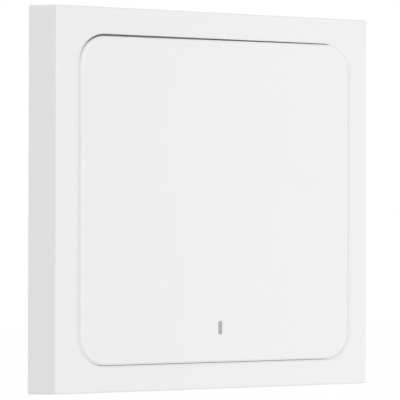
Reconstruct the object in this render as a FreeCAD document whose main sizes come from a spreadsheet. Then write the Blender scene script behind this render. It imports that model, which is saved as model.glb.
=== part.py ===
"""A flat battery-powered smart light switch for one lamp circuit, 86 mm square, held to a wall.

Every piece is drawn as seen from the front: x to the right, y up, z out of the wall. It is then
stood up against the wall, so that in the finished part X is to the right, Z is up, the wall lies
in the plane Y = 0 and the front faces -Y. All sizes are in millimetres, and angles in degrees.
"""

import FreeCAD, Part
import math
import os
import Sketcher
from FreeCAD import Placement, Rotation, Vector

SIZES = {
    # how far a feature is sunk into the wall that carries it
    "root_overlap": 0.2,
    # cover frame
    "frame_width": 86.0,
    "frame_depth": 11.0,
    "frame_draft": 0.5,
    "frame_wall": 2.0,
    "frame_front": 2.0,
    "frame_corner_round": 1.0,
    "frame_edge_round": 0.4,
    "frame_inner_round": 2.0,
    "frame_border": 5.9,
    "opening_round": 5.9,
    "opening_edge_bevel": 0.2,
    "catch_length": 8.0,
    "catch_reach": 1.4,
    "catch_rise": 1.5,
    "catch_tip": 0.4,
    "catch_spacing": 44.0,
    "pry_width": 12.0,
    "pry_height": 1.0,
    "pry_depth": 1.3,
    # key
    "key_gap": 0.3,
    "key_proud": 1.25,
    "key_face": 1.5,
    "key_edge_round": 0.55,
    "key_rim": 1.4,
    "key_rim_depth": 0.65,
    "key_rib": 0.9,
    "key_rib_spacing": 24.0,
    "key_boss_radius": 3.2,
    "key_travel_angle": 0.75,
    # hinge of the key
    "hinge_from_edge": 3.3,
    "hinge_spacing": 40.0,
    "hinge_below_chassis": 1.2,
    "hinge_pin_radius": 0.8,
    "hinge_pin_length": 1.8,
    "hinge_clearance": 0.05,
    "ear_width": 2.4,
    "ear_height": 3.2,
    "ear_below_pin": 0.2,
    "ear_window_side": 0.9,
    "ear_window_up": 0.5,
    "socket_gap": 0.3,
    "socket_width": 2.2,
    "socket_wall": 0.7,
    # hooks that stop the key
    "hook_from_edge": 4.1,
    "hook_spacing": 40.0,
    "hook_width": 5.0,
    "hook_arm": 1.2,
    "hook_reach": 0.9,
    "hook_nose": 0.8,
    "hook_clearance": 0.05,
    "hook_window_side": 0.4,
    "hook_window_under": 0.25,
    "hook_window_over": 1.0,
    # indicator
    "lens_from_edge": 7.7,
    "lens_width": 1.05,
    "lens_height": 3.4,
    "lens_clearance": 0.03,
    "lens_flange": 0.8,
    "lens_flange_depth": 0.6,
    "led_width": 0.8,
    "led_length": 1.6,
    "led_height": 0.6,
    "guide_bore_width": 1.8,
    "guide_bore_height": 4.2,
    "guide_wall": 0.9,
    "guide_below_front": 0.1,
    "guide_clearance": 0.15,
    # wall plate
    "plate_gap": 0.4,
    "plate_thickness": 1.6,
    "plate_round": 2.0,
    "core_width": 10.4,
    "core_pitch": 12.0,
    "core_depth": 0.7,
    "wall_screw_spacing": 60.3,
    "wall_slot_width": 4.0,
    "wall_slot_length": 8.0,
    "lug_width": 10.0,
    "lug_thickness": 1.2,
    "lug_reach": 1.0,
    "lug_nose": 0.9,
    "lug_gap": 0.3,
    "lug_grip_clearance": 0.1,
    "tape_width": 18.0,
    "tape_thickness": 0.8,
    "tape_inset": 12.6,
    "tape_clearance": 0.1,
    # base tray
    "tray_standoff": 0.3,
    "tray_wall": 1.4,
    "tray_floor": 1.2,
    "tray_round": 2.5,
    "ledge_width": 12.0,
    "ledge_reach": 1.0,
    "ledge_up": 1.4,
    "ledge_thickness": 1.2,
    "dome_inward": 6.5,
    "dome_width": 9.0,
    "dome_rise": 1.3,
    "dome_recess": 1.5,
    "dome_wall": 1.2,
    "boss_inset": 5.6,
    "boss_width": 5.0,
    "post_width": 3.0,
    "post_inset": 5.0,
    "post_spacing": 36.0,
    "well_clearance": 0.35,
    "well_wall": 0.8,
    "well_height": 2.3,
    "well_gap": 6.0,
    # chassis
    "chassis_gap": 0.5,
    "chassis_flange": 1.15,
    "chassis_thickness": 1.4,
    "chassis_round": 1.8,
    "chassis_skirt": 1.2,
    "chassis_skirt_depth": 1.2,
    "chassis_skirt_gap": 0.15,
    "chassis_rib": 1.0,
    "chassis_rib_depth": 0.7,
    "chassis_rib_gap": 1.5,
    "chassis_rib_length": 60.0,
    "cell_window_clearance": 0.75,
    "finger_notch_radius": 3.0,
    "switch_window_clearance": 0.6,
    # chassis screws
    "screw_radius": 1.0,
    "screw_length": 5.0,
    "screw_head_radius": 1.9,
    "screw_head_height": 1.2,
    "screw_sink": 0.6,
    "screw_clearance": 0.1,
    # buffers under the key
    "buffer_width": 4.0,
    "buffer_height": 3.0,
    "buffer_landing_gap": 0.03,
    "buffer_sink": 0.6,
    "buffer_from_edge": 3.3,
    "buffer_clearance": 0.1,
    # circuit board
    "board_standoff": 1.5,
    "board_thickness": 1.0,
    "board_gap_side": 1.6,
    "board_gap_top": 4.1,
    "board_gap_bottom": 5.1,
    "board_notch_clearance": 0.5,
    "board_hole_clearance": 0.5,
    # main tact switch
    "tact_width": 6.0,
    "tact_base_height": 2.0,
    "tact_floor": 0.7,
    "tact_cavity_radius": 2.3,
    "tact_height": 3.75,
    "tact_stem_radius": 1.7,
    "tact_flange_radius": 2.1,
    "tact_flange_height": 0.7,
    "tact_flange_clearance": 0.05,
    "tact_dome_radius": 1.9,
    "tact_dome_rise": 0.5,
    "tact_dome_sheet": 0.1,
    "tact_cover_sheet": 0.2,
    "tact_cover_leg": 1.6,
    "tact_cover_leg_width": 3.6,
    "tact_stem_clearance": 0.08,
    "tact_lead_width": 0.7,
    "tact_lead_reach": 1.3,
    "tact_lead_spacing": 4.5,
    "tact_lead_sheet": 0.2,
    "push_gap": 0.05,
    "push_pad_radius": 2.4,
    "push_pad_thickness": 0.65,
    # pairing switch
    "pair_from_edge": 13.0,
    "pair_down": 12.0,
    "pair_width": 4.0,
    "pair_depth": 3.0,
    "pair_base_height": 1.3,
    "pair_floor": 0.5,
    "pair_cavity_radius": 1.15,
    "pair_height": 3.0,
    "pair_stem_radius": 0.75,
    "pair_flange_radius": 1.05,
    "pair_flange_height": 0.42,
    "pair_dome_radius": 1.0,
    "pair_dome_rise": 0.3,
    "pair_dome_sheet": 0.08,
    "pair_cover_sheet": 0.15,
    "pair_cover_leg": 1.0,
    "pair_cover_leg_width": 2.0,
    "pair_flange_clearance": 0.05,
    "pair_stem_clearance": 0.06,
    "pair_hole_radius": 1.5,
    # coin cell and its contacts
    "cell_up": 18.5,
    "cell_radius": 12.25,
    "cell_height": 5.0,
    "cell_bevel": 0.5,
    "cell_cap_radius": 10.6,
    "cell_cap_height": 0.4,
    "cell_above_floor": 0.4,
    "clip_sheet": 0.3,
    "clip_width": 4.0,
    "clip_gap": 0.1,
    "clip_lip": 1.6,
    "clip_foot": 4.4,
    "clip_up_gap": 0.05,
    "spring_sheet": 0.2,
    "spring_width": 3.0,
    "spring_foot": 3.2,
    "spring_end": 2.0,
    "spring_arch": 5.0,
    "spring_lead": 0.8,
    "spring_bend": 0.1,
    # radio module
    "radio_from_rib": 0.5,
    "radio_from_low_edge": 9.5,
    "radio_width": 12.0,
    "radio_height": 16.0,
    "radio_board": 0.8,
    "can_width": 10.4,
    "can_height": 10.6,
    "can_rise": 1.0,
    "can_sheet": 0.15,
    "can_down": 2.2,
    "chip_width": 5.0,
    "chip_rise": 0.7,
    "chip_left": 1.6,
    "crystal_width": 2.0,
    "crystal_height": 1.6,
    "crystal_rise": 0.5,
    "crystal_right": 3.3,
    "antenna_width": 5.2,
    "antenna_height": 2.0,
    "antenna_rise": 0.8,
    "antenna_up": 6.0,
    # small parts on the board
    "parts_left": 10.0,
    "parts_down": 4.0,
    "parts_pitch": 2.6,
    "reservoir_from_edge": 12.0,
    "reservoir_up": 8.0,
    "capacitor_length": 1.6,
    "capacitor_width": 0.8,
    "capacitor_rise": 0.8,
    "resistor_length": 1.6,
    "resistor_width": 0.8,
    "resistor_rise": 0.45,
    "reservoir_length": 3.5,
    "reservoir_width": 2.8,
    "reservoir_rise": 1.6,
}

doc = FreeCAD.newDocument("smart_light_switch")
sheet = doc.addObject("Spreadsheet::Sheet", "Sizes")
for row, (alias, number) in enumerate(SIZES.items(), start=1):
    sheet.set(f"A{row}", alias)
    sheet.set(f"B{row}", str(number))
    sheet.setAlias(f"B{row}", alias)
doc.recompute()


class Size:
    """A size as both its number and the expression that gives it from the sheet."""

    def __init__(self, number, text):
        self.number = number
        self.text = text

    def __add__(self, other):
        other = as_size(other)
        return Size(self.number + other.number, f"({self.text} + {other.text})")

    def __sub__(self, other):
        other = as_size(other)
        return Size(self.number - other.number, f"({self.text} - {other.text})")

    def __mul__(self, other):
        other = as_size(other)
        return Size(self.number * other.number, f"({self.text} * {other.text})")

    def __truediv__(self, other):
        other = as_size(other)
        return Size(self.number / other.number, f"({self.text} / {other.text})")

    def __neg__(self):
        return Size(-self.number, f"(-{self.text})")


def as_size(value):
    """A plain number as a Size, so that sizes can be multiplied by counts."""
    return value if isinstance(value, Size) else Size(float(value), f"({float(value)})")


def size(alias):
    """The size kept in the sheet under this alias."""
    return Size(SIZES[alias], f"Sizes.{alias}")


def sine(angle):
    """The sine of an angle in degrees."""
    return Size(math.sin(math.radians(angle.number)), f"sin({angle.text} * 1 deg)")


def arc_tangent(ratio):
    """The angle in degrees whose tangent is this ratio."""
    return Size(math.degrees(math.atan(ratio.number)), f"atan({ratio.text})")


ZERO = Size(0.0, "0")
TOUCH = 0.01


class Piece:
    """One body, drawn from its own back plane, which lies `out` from the wall."""

    def __init__(self, label, out):
        self.body = doc.addObject("PartDesign::Body", label)
        self.body.Label = label
        self.body.AllowCompound = True
        self.body.Placement = Placement(Vector(0, -out.number, 0), Rotation(Vector(1, 0, 0), 90))
        self.body.setExpression("Placement.Base.y", f"-{out.text}")

    def sketch(self, name, lift=ZERO, plane="XY_Plane"):
        """A sketch on one of the body's origin planes, moved by `lift` along the plane's normal."""
        sketch = self.body.newObject("Sketcher::SketchObject", f"{self.body.Name}_{name}")
        support = next(f for f in self.body.Origin.OriginFeatures if f.Role == plane)
        sketch.AttachmentSupport = [(support, "")]
        sketch.MapMode = "FlatFace"
        sketch.AttachmentOffset = Placement(Vector(0, 0, lift.number), Rotation())
        sketch.setExpression("AttachmentOffset.Base.z", lift.text)
        return sketch

    def feature(self, kind, name, sketch, length, **settings):
        """A pad or pocket of a sketch, over a bound length."""
        feature = self.body.newObject(f"PartDesign::{kind}", f"{self.body.Name}_{name}")
        feature.Profile = sketch
        feature.Length = abs(length.number)
        feature.setExpression("Length", length.text)
        for key, value in settings.items():
            setattr(feature, key, value)
        sketch.Visibility = False
        self.body.Tip = feature
        return feature

    def pad(self, name, sketch, length, **settings):
        return self.feature("Pad", name, sketch, length, **settings)

    def pocket(self, name, sketch, length, **settings):
        """A pocket that cuts upwards, along the sketch plane's normal, unless it is told otherwise."""
        settings.setdefault("Reversed", True)
        before = self.measured()
        feature = self.feature("Pocket", name, sketch, length, **settings)
        if self.measured() >= before - 1e-6:
            raise RuntimeError(f"{feature.Name} cuts nothing")
        return feature

    def measured(self):
        """The body's volume so far."""
        doc.recompute()
        return self.body.Shape.Volume

    def dress(self, kind, name, width, chosen):
        """Rounds or bevels each edge that `chosen` accepts, given the edge's middle and bounding box."""
        doc.recompute()
        base = self.body.Tip
        edges = []
        for number, edge in enumerate(base.Shape.Edges, start=1):
            if chosen(edge.BoundBox.Center, edge.BoundBox):
                edges.append(f"Edge{number}")
        if not edges:
            raise RuntimeError(f"{self.body.Name} has no edge for {name}")
        feature = self.body.newObject(f"PartDesign::{kind}", f"{self.body.Name}_{name}")
        feature.Base = (base, edges)
        measure = "Radius" if kind == "Fillet" else "Size"
        setattr(feature, measure, width.number)
        feature.setExpression(measure, width.text)
        self.body.Tip = feature
        doc.recompute()
        if feature.Shape.isNull() or not feature.Shape.isValid():
            raise RuntimeError(f"{feature.Name} failed")
        return feature

    def fillet(self, name, radius, chosen):
        return self.dress("Fillet", name, radius, chosen)

    def chamfer(self, name, width, chosen):
        return self.dress("Chamfer", name, width, chosen)

    def around(self, name, features, turns=4):
        """The same features repeated round the z axis, once on each side."""
        pattern = self.body.newObject("PartDesign::PolarPattern", f"{self.body.Name}_{name}")
        pattern.Originals = features
        pattern.Axis = (next(f for f in self.body.Origin.OriginFeatures if f.Role == "Z_Axis"), [""])
        pattern.Angle = 360
        pattern.Occurrences = turns
        self.body.Tip = pattern
        return pattern

    def mirrored(self, name, features, plane="YZ_Plane"):
        """The same features seen in a mirror that stands on one of the body's origin planes."""
        mirror = self.body.newObject("PartDesign::Mirrored", f"{self.body.Name}_{name}")
        mirror.Originals = features
        mirror.MirrorPlane = (next(f for f in self.body.Origin.OriginFeatures if f.Role == plane), [""])
        self.body.Tip = mirror
        return mirror


def level_edges(height, nearer=None, beyond=None):
    """Picks the level edges at a height; `nearer` and `beyond` limit how far out they reach."""

    def chosen(centre, box):
        if box.ZLength > TOUCH or abs(centre.z - height.number) > TOUCH:
            return False
        reach = max(box.XMax, box.YMax, -box.XMin, -box.YMin)
        return (nearer is None or reach < nearer.number) and (beyond is None or reach > beyond.number)

    return chosen


def hold(sketch, kind, places, value):
    """Adds one dimension to a sketch and binds it to the sheet."""
    index = sketch.addConstraint(Sketcher.Constraint(kind, *places, value.number))
    name = f"{kind.lower()}_{index}"
    sketch.renameConstraint(index, name)
    sketch.setExpression(f"Constraints.{name}", value.text)


def hold_point(sketch, element, end, x, y):
    """Holds one point of a sketch by its distances from the sketch's origin."""
    hold(sketch, "DistanceX", (-1, 1, element, end), x)
    hold(sketch, "DistanceY", (-1, 1, element, end), y)


def draw_outline(sketch, points):
    """A closed outline of straight lines through the points."""
    points = [(as_size(x), as_size(y)) for x, y in points]
    first = sketch.GeometryCount
    count = len(points)
    spots = [Vector(x.number, y.number, 0) for x, y in points]
    sketch.addGeometry([Part.LineSegment(spots[i], spots[(i + 1) % count]) for i in range(count)])
    joins = []
    for i in range(count):
        joins.append(Sketcher.Constraint("Coincident", first + i, 2, first + (i + 1) % count, 1))
    sketch.addConstraint(joins)
    for i, (x, y) in enumerate(points):
        hold_point(sketch, first + i, 1, x, y)


def draw_rectangle(sketch, width, height, x=ZERO, y=ZERO):
    """A rectangle with sharp corners, centred on x, y."""
    left, right = x - width / 2, x + width / 2
    low, high = y - height / 2, y + height / 2
    draw_outline(sketch, [(left, low), (right, low), (right, high), (left, high)])


def draw_rounded(sketch, width, height, radius, x=ZERO, y=ZERO):
    """A rectangle with its corners rounded, centred on x, y."""
    first = sketch.GeometryCount
    half_w, half_h, r = width.number / 2, height.number / 2, radius.number
    cx, cy = x.number, y.number
    corners = [(1, -1, -90), (1, 1, 0), (-1, 1, 90), (-1, -1, 180)]
    geometry = []
    for side_x, side_y, start in corners:
        centre = Vector(cx + side_x * (half_w - r), cy + side_y * (half_h - r), 0)
        turn = [math.radians(start), math.radians(start + 90)]
        geometry.append(Part.ArcOfCircle(Part.Circle(centre, Vector(0, 0, 1), r), *turn))
    for i in range(4):
        here = geometry[i].EndPoint
        there = geometry[(i + 1) % 4].StartPoint
        geometry.append(Part.LineSegment(here, there))
    sketch.addGeometry(geometry)
    rules = []
    for i in range(4):
        rules.append(Sketcher.Constraint("Tangent", first + i, 2, first + 4 + i, 1))
        rules.append(Sketcher.Constraint("Tangent", first + 4 + i, 2, first + (i + 1) % 4, 1))
    for i in range(1, 4):
        rules.append(Sketcher.Constraint("Equal", first, first + i))
    rules.append(Sketcher.Constraint("Vertical", first + 4))
    rules.append(Sketcher.Constraint("Vertical", first + 6))
    rules.append(Sketcher.Constraint("Horizontal", first + 5))
    rules.append(Sketcher.Constraint("Horizontal", first + 7))
    sketch.addConstraint(rules)
    hold(sketch, "Radius", (first,), radius)
    hold(sketch, "DistanceX", (first + 6, 1, first + 4, 1), width)
    hold(sketch, "DistanceY", (first + 7, 1, first + 5, 1), height)
    hold(sketch, "DistanceX", (-1, 1, first + 4, 1), x + width / 2)
    hold(sketch, "DistanceY", (-1, 1, first + 5, 1), y + height / 2)


def draw_circle(sketch, radius, x=ZERO, y=ZERO):
    """A circle centred on x, y."""
    index = sketch.addGeometry(Part.Circle(Vector(x.number, y.number, 0), Vector(0, 0, 1), radius.number))
    hold(sketch, "Radius", (index,), radius)
    hold_point(sketch, index, 3, x, y)


def draw_slot(sketch, length, width, x=ZERO, y=ZERO, upright=False):
    """A slot with full round ends, `length` from end to end, centred on x, y."""
    first = sketch.GeometryCount
    r = width.number / 2
    reach = (length.number - width.number) / 2
    centre = Vector(x.number, y.number, 0)
    along = Vector(0, 1, 0) if upright else Vector(1, 0, 0)
    start = 0 if upright else -90
    arcs = []
    for side in (1, -1):
        middle = centre + along * (side * reach)
        turn = [math.radians(start), math.radians(start + 180)]
        arcs.append(Part.ArcOfCircle(Part.Circle(middle, Vector(0, 0, 1), r), *turn))
        start += 180
    lines = [Part.LineSegment(arcs[0].EndPoint, arcs[1].StartPoint)]
    lines.append(Part.LineSegment(arcs[1].EndPoint, arcs[0].StartPoint))
    sketch.addGeometry(arcs + lines)
    rules = [Sketcher.Constraint("Tangent", first, 2, first + 2, 1)]
    rules.append(Sketcher.Constraint("Tangent", first + 2, 2, first + 1, 1))
    rules.append(Sketcher.Constraint("Tangent", first + 1, 2, first + 3, 1))
    rules.append(Sketcher.Constraint("Tangent", first + 3, 2, first, 1))
    rules.append(Sketcher.Constraint("Vertical" if upright else "Horizontal", first + 2))
    sketch.addConstraint(rules)
    hold(sketch, "Radius", (first,), width / 2)
    reach = (length - width) / 2
    if upright:
        hold_point(sketch, first, 3, x, y + reach)
        hold(sketch, "DistanceY", (-1, 1, first + 1, 3), y - reach)
    else:
        hold_point(sketch, first, 3, x + reach, y)
        hold(sketch, "DistanceX", (-1, 1, first + 1, 3), x - reach)


# Widths, from the frame inwards.
frame_inside = size("frame_width") / 2 - size("frame_wall")
opening_half = size("frame_width") / 2 - size("frame_draft") - size("frame_border")
key_half = opening_half - size("key_gap")
key_width = key_half * 2
key_round = size("opening_round") - size("key_gap")
plate_half = frame_inside - size("plate_gap")
chassis_half = frame_inside - size("chassis_gap")
tray_half = chassis_half - size("chassis_flange") - size("chassis_skirt") - size("chassis_skirt_gap")
tray_width = tray_half * 2
tray_inside = tray_half - size("tray_wall")
boss_spacing = (tray_inside - size("boss_inset")) * 2
board_side = tray_inside - size("board_gap_side")
board_top = tray_inside - size("board_gap_top")
board_low = size("board_gap_bottom") - tray_inside
tape_spacing = (plate_half - size("tape_inset")) * 2
cell_window_radius = size("cell_radius") + size("cell_window_clearance")
rib_place = cell_window_radius + size("chassis_rib_gap") + size("chassis_rib") / 2

# Places on the front, measured up or down from the middle.
hinge_up = key_half - size("hinge_from_edge")
hook_down = key_half - size("hook_from_edge")
lens_down = key_half - size("lens_from_edge")
buffer_down = key_half - size("buffer_from_edge")

# Heights above the wall.
chassis_front = size("frame_depth") - size("frame_front")
chassis_back = chassis_front - size("chassis_thickness")
key_front = size("frame_depth") + size("key_proud")
key_inside = key_front - size("key_face")
key_rim_back = key_inside - size("key_rim_depth")
tray_back = size("plate_thickness") + size("tray_standoff")
tray_top = tray_back + size("tray_floor")
board_back = tray_top + size("board_standoff")
board_front = board_back + size("board_thickness")
cell_back = tray_top + size("cell_above_floor")
hinge_out = chassis_front - size("hinge_below_chassis")
tact_top = board_front + size("tact_height")


def make_cover_frame():
    """The white square frame: a drafted shell open at the back, with a rounded opening for the key."""
    piece = Piece("cover_frame", ZERO)
    outside = piece.sketch("outside")
    draw_rounded(outside, size("frame_width"), size("frame_width"), size("frame_corner_round"))
    block = piece.pad("block", outside, size("frame_depth"))
    draft_angle = -arc_tangent(size("frame_draft") / size("frame_depth"))
    block.setExpression("TaperAngle", draft_angle.text)
    inside = piece.sketch("inside")
    draw_rounded(inside, frame_inside * 2, frame_inside * 2, size("frame_inner_round"))
    piece.pocket("hollow", inside, chassis_front)
    opening = piece.sketch("opening")
    draw_rounded(opening, opening_half * 2, opening_half * 2, size("opening_round"))
    piece.pocket("opening", opening, size("frame_depth"))

    # Four pairs of wedges on the inner walls snap behind the edge of the chassis.
    catches = []
    root = frame_inside + size("root_overlap")
    top = chassis_back - size("hook_clearance")
    for name, side in (("catch_a", 0.5), ("catch_b", -0.5)):
        lift = size("catch_spacing") * side
        profile = piece.sketch(name, lift, "XZ_Plane")
        tip = frame_inside - size("catch_reach")
        foot = top - size("catch_rise")
        draw_outline(profile, [(root, foot), (root, top), (tip, top), (tip, top - size("catch_tip"))])
        catches.append(piece.pad(name + "_pad", profile, size("catch_length"), Midplane=True))
    piece.around("catches", catches)

    # A shallow notch in the bottom back edge takes the tip of a screwdriver.
    notch = piece.sketch("pry_notch")
    low = -size("frame_width") / 2
    draw_rectangle(notch, size("pry_width"), size("pry_depth") * 2, ZERO, low)
    piece.pocket("pry_notch_cut", notch, size("pry_height"))

    depth = size("frame_depth")
    mouth = opening_half + size("root_overlap")
    piece.fillet("front_edge", size("frame_edge_round"), level_edges(depth, beyond=mouth))
    piece.chamfer("opening_edge", size("opening_edge_bevel"), level_edges(depth, nearer=mouth))
    return piece


def make_key_plate():
    """The square key: a smooth face with a rim and ribs behind, two hinge ears and two stop hooks."""
    back = hinge_out - size("hinge_pin_radius") - size("ear_below_pin")
    piece = Piece("key_plate", back)
    inside = key_inside - back
    front = key_front - back
    rim_back = key_rim_back - back

    face = piece.sketch("face", inside)
    draw_rounded(face, key_width, key_width, key_round)
    piece.pad("face_pad", face, size("key_face"))
    rim = piece.sketch("rim", rim_back)
    rim_inside = key_width - size("key_rim") * 2
    draw_rounded(rim, key_width, key_width, key_round)
    draw_rounded(rim, rim_inside, rim_inside, key_round - size("key_rim"))
    piece.pad("rim_pad", rim, size("key_rim_depth"))

    # Ribs behind the face, kept clear of the boss and of the lens.
    rib_length = rim_inside + size("root_overlap")
    upright = piece.sketch("upright_ribs", rim_back)
    for side in (-0.5, 0.5):
        draw_rectangle(upright, size("key_rib"), rib_length, size("key_rib_spacing") * side)
    piece.pad("upright_ribs_pad", upright, size("key_rim_depth"))
    level = piece.sketch("level_ribs", rim_back)
    for side in (-0.5, 0.5):
        draw_rectangle(level, rib_length, size("key_rib"), ZERO, size("key_rib_spacing") * side)
    piece.pad("level_ribs_pad", level, size("key_rim_depth"))

    boss_back = tact_top + size("push_gap") + size("push_pad_thickness") - back
    boss = piece.sketch("boss", boss_back)
    draw_circle(boss, size("key_boss_radius"))
    piece.pad("boss_pad", boss, inside - boss_back)

    # Hinge ears near the top edge, each with a round pin that points outwards.
    ears = piece.sketch("ears")
    for side in (-0.5, 0.5):
        ear_x = size("hinge_spacing") * side
        draw_rectangle(ears, size("ear_width"), size("ear_height"), ear_x, hinge_up)
    piece.pad("ears_pad", ears, inside)
    pin_start = size("hinge_spacing") / 2 + size("ear_width") / 2 - size("root_overlap")
    pin = piece.sketch("hinge_pin", pin_start, "YZ_Plane")
    draw_circle(pin, size("hinge_pin_radius"), hinge_up, hinge_out - back)
    right_pin = piece.pad("right_pin", pin, size("hinge_pin_length") + size("root_overlap"))
    piece.mirrored("left_pin", [right_pin])

    # Stop hooks near the bottom edge reach through the chassis and catch behind it.
    arm = -hook_down
    under = arm - size("hook_arm")
    nose_top = chassis_back - size("hook_clearance") - back
    nose_low = nose_top - size("hook_nose")
    tip = under - size("hook_reach")
    hook = piece.sketch("hook", size("hook_spacing") / 2, "YZ_Plane")
    root = inside + size("root_overlap")
    outline = [(arm, root), (under, root), (under, nose_top)]
    outline += [(tip, nose_top), (under, nose_low), (arm, nose_low)]
    draw_outline(hook, outline)
    right_hook = piece.pad("right_hook", hook, size("hook_width"), Midplane=True)
    piece.mirrored("left_hook", [right_hook])

    slot = piece.sketch("lens_slot", inside)
    slot_height = size("lens_height") + size("lens_clearance") * 2
    slot_width = size("lens_width") + size("lens_clearance") * 2
    draw_slot(slot, slot_height, slot_width, ZERO, -lens_down, upright=True)
    piece.pocket("lens_slot_cut", slot, size("key_face"))

    rim_edge = key_half - size("root_overlap")
    piece.fillet("front_edge", size("key_edge_round"), level_edges(front, beyond=rim_edge))
    return piece


def make_indicator_lens():
    """The small clear window for the indicator light, flush with the key, on a wider foot behind."""
    piece = Piece("indicator_lens", key_inside - size("lens_flange_depth"))
    foot = piece.sketch("foot")
    wide = size("lens_width") + size("lens_flange") * 2
    tall = size("lens_height") + size("lens_flange") * 2
    draw_slot(foot, tall, wide, ZERO, -lens_down, upright=True)
    piece.pad("foot_pad", foot, size("lens_flange_depth"))
    window = piece.sketch("window", size("lens_flange_depth"))
    draw_slot(window, size("lens_height"), size("lens_width"), ZERO, -lens_down, upright=True)
    piece.pad("window_pad", window, size("key_face"))
    return piece


def make_push_pad():
    """The soft round pad on the key's boss, which presses the main switch."""
    piece = Piece("push_pad", tact_top + size("push_gap"))
    disc = piece.sketch("disc")
    draw_circle(disc, size("push_pad_radius"))
    piece.pad("disc_pad", disc, size("push_pad_thickness"))
    return piece


def make_chassis():
    """The front half of the module: the plate under the key, with its hinge sockets and windows."""
    low = hinge_out - size("hinge_pin_radius") - size("hinge_clearance") - size("socket_wall")
    piece = Piece("chassis", low)
    plate_back = chassis_back - low
    front = chassis_front - low

    plate = piece.sketch("plate", plate_back)
    draw_rounded(plate, chassis_half * 2, chassis_half * 2, size("chassis_round"))
    piece.pad("plate_pad", plate, size("chassis_thickness"))
    inner = tray_width + size("chassis_skirt_gap") * 2
    inner_round = size("tray_round") + size("chassis_skirt_gap")
    outer = inner + size("chassis_skirt") * 2
    outer_round = inner_round + size("chassis_skirt")
    skirt = piece.sketch("skirt", plate_back - size("chassis_skirt_depth"))
    draw_rounded(skirt, outer, outer, outer_round)
    draw_rounded(skirt, inner, inner, inner_round)
    piece.pad("skirt_pad", skirt, size("chassis_skirt_depth"))

    ribs = piece.sketch("ribs", plate_back - size("chassis_rib_depth"))
    for side in (-1, 1):
        draw_rectangle(ribs, size("chassis_rib"), size("chassis_rib_length"), rib_place * side)
    piece.pad("ribs_pad", ribs, size("chassis_rib_depth"))

    # Hinge sockets hang below the plate, outside the ears' windows.
    ear_side = size("ear_width") / 2
    cheek_in = size("hinge_spacing") / 2 + ear_side + size("socket_gap")
    cheek_x = cheek_in + size("socket_width") / 2
    cheek_height = size("ear_height") + size("ear_window_up") * 2
    cheeks = piece.sketch("cheeks")
    for side in (-1, 1):
        draw_rectangle(cheeks, size("socket_width"), cheek_height, cheek_x * side, hinge_up)
    piece.pad("cheeks_pad", cheeks, plate_back)
    window_in = size("hinge_spacing") / 2 - ear_side - size("ear_window_side")
    window_x = (window_in + cheek_in) / 2
    ears = piece.sketch("ear_windows", plate_back)
    for side in (-1, 1):
        draw_rectangle(ears, cheek_in - window_in, cheek_height, window_x * side, hinge_up)
    piece.pocket("ear_windows_cut", ears, size("chassis_thickness"))
    bore = piece.sketch("hinge_bore", cheek_in, "YZ_Plane")
    draw_circle(bore, size("hinge_pin_radius") + size("hinge_clearance"), hinge_up, hinge_out - low)
    right_bore = piece.pocket("right_bore", bore, size("socket_width"))
    piece.mirrored("left_bore", [right_bore])

    # Windows for the stop hooks: the plate's edge below each one holds the hook's nose.
    hook_top = -hook_down + size("hook_window_over")
    hook_low = -hook_down - size("hook_arm") - size("hook_window_under")
    hooks = piece.sketch("hook_windows", plate_back)
    hook_wide = size("hook_width") + size("hook_window_side") * 2
    for side in (-0.5, 0.5):
        middle = (hook_top + hook_low) / 2
        draw_rectangle(hooks, hook_wide, hook_top - hook_low, size("hook_spacing") * side, middle)
    piece.pocket("hook_windows_cut", hooks, size("chassis_thickness"))

    cell = piece.sketch("cell_window", plate_back)
    draw_circle(cell, cell_window_radius, ZERO, size("cell_up"))
    piece.pocket("cell_window_cut", cell, size("chassis_thickness"))
    finger = piece.sketch("finger_notch", plate_back)
    draw_circle(finger, size("finger_notch_radius"), ZERO, size("cell_up") + cell_window_radius)
    piece.pocket("finger_notch_cut", finger, size("chassis_thickness"))
    tact = piece.sketch("tact_window", plate_back)
    tact_wide = size("tact_width") + size("tact_cover_sheet") * 2 + size("switch_window_clearance") * 2
    draw_rectangle(tact, tact_wide, tact_wide)
    draw_circle(tact, size("pair_hole_radius"), board_side - size("pair_from_edge"), -size("pair_down"))
    guide_wide = size("guide_bore_width") + size("guide_wall") * 2 + size("guide_clearance") * 2
    guide_tall = size("guide_bore_height") + size("guide_wall") * 2 + size("guide_clearance") * 2
    draw_slot(tact, guide_tall, guide_wide, ZERO, -lens_down, upright=True)
    piece.pocket("small_windows_cut", tact, size("chassis_thickness"))

    seats = piece.sketch("buffer_seats", front - size("buffer_sink"))
    spare = size("buffer_clearance") * 2
    for side in (-0.5, 0.5):
        place = [size("key_rib_spacing") * side, -buffer_down]
        draw_rectangle(seats, size("buffer_width") + spare, size("buffer_height") + spare, *place)
    piece.pocket("buffer_seats_cut", seats, size("buffer_sink"))

    holes = piece.sketch("screw_holes", plate_back)
    sinks = piece.sketch("screw_sinks", front - size("screw_sink"))
    sink_width = (size("screw_head_radius") + size("screw_clearance")) * 2
    for x in (-0.5, 0.5):
        for y in (-0.5, 0.5):
            place = [boss_spacing * x, boss_spacing * y]
            draw_circle(holes, size("screw_radius") + size("screw_clearance"), *place)
            draw_rectangle(sinks, sink_width, sink_width, *place)
    piece.pocket("screw_holes_cut", holes, size("chassis_thickness"))
    piece.pocket("screw_sinks_cut", sinks, size("screw_sink"))
    return piece


def make_chassis_screws():
    """Four pan-head screws that hold the chassis to the base tray, one in each corner."""
    head_back = chassis_front - size("screw_sink")
    piece = Piece("chassis_screws", head_back - size("screw_length"))
    shanks = piece.sketch("shanks")
    heads = piece.sketch("heads", size("screw_length"))
    for x in (-0.5, 0.5):
        for y in (-0.5, 0.5):
            place = [boss_spacing * x, boss_spacing * y]
            draw_circle(shanks, size("screw_radius"), *place)
            draw_circle(heads, size("screw_head_radius"), *place)
    piece.pad("shanks_pad", shanks, size("screw_length"))
    piece.pad("heads_pad", heads, size("screw_head_height"))
    return piece


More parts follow.
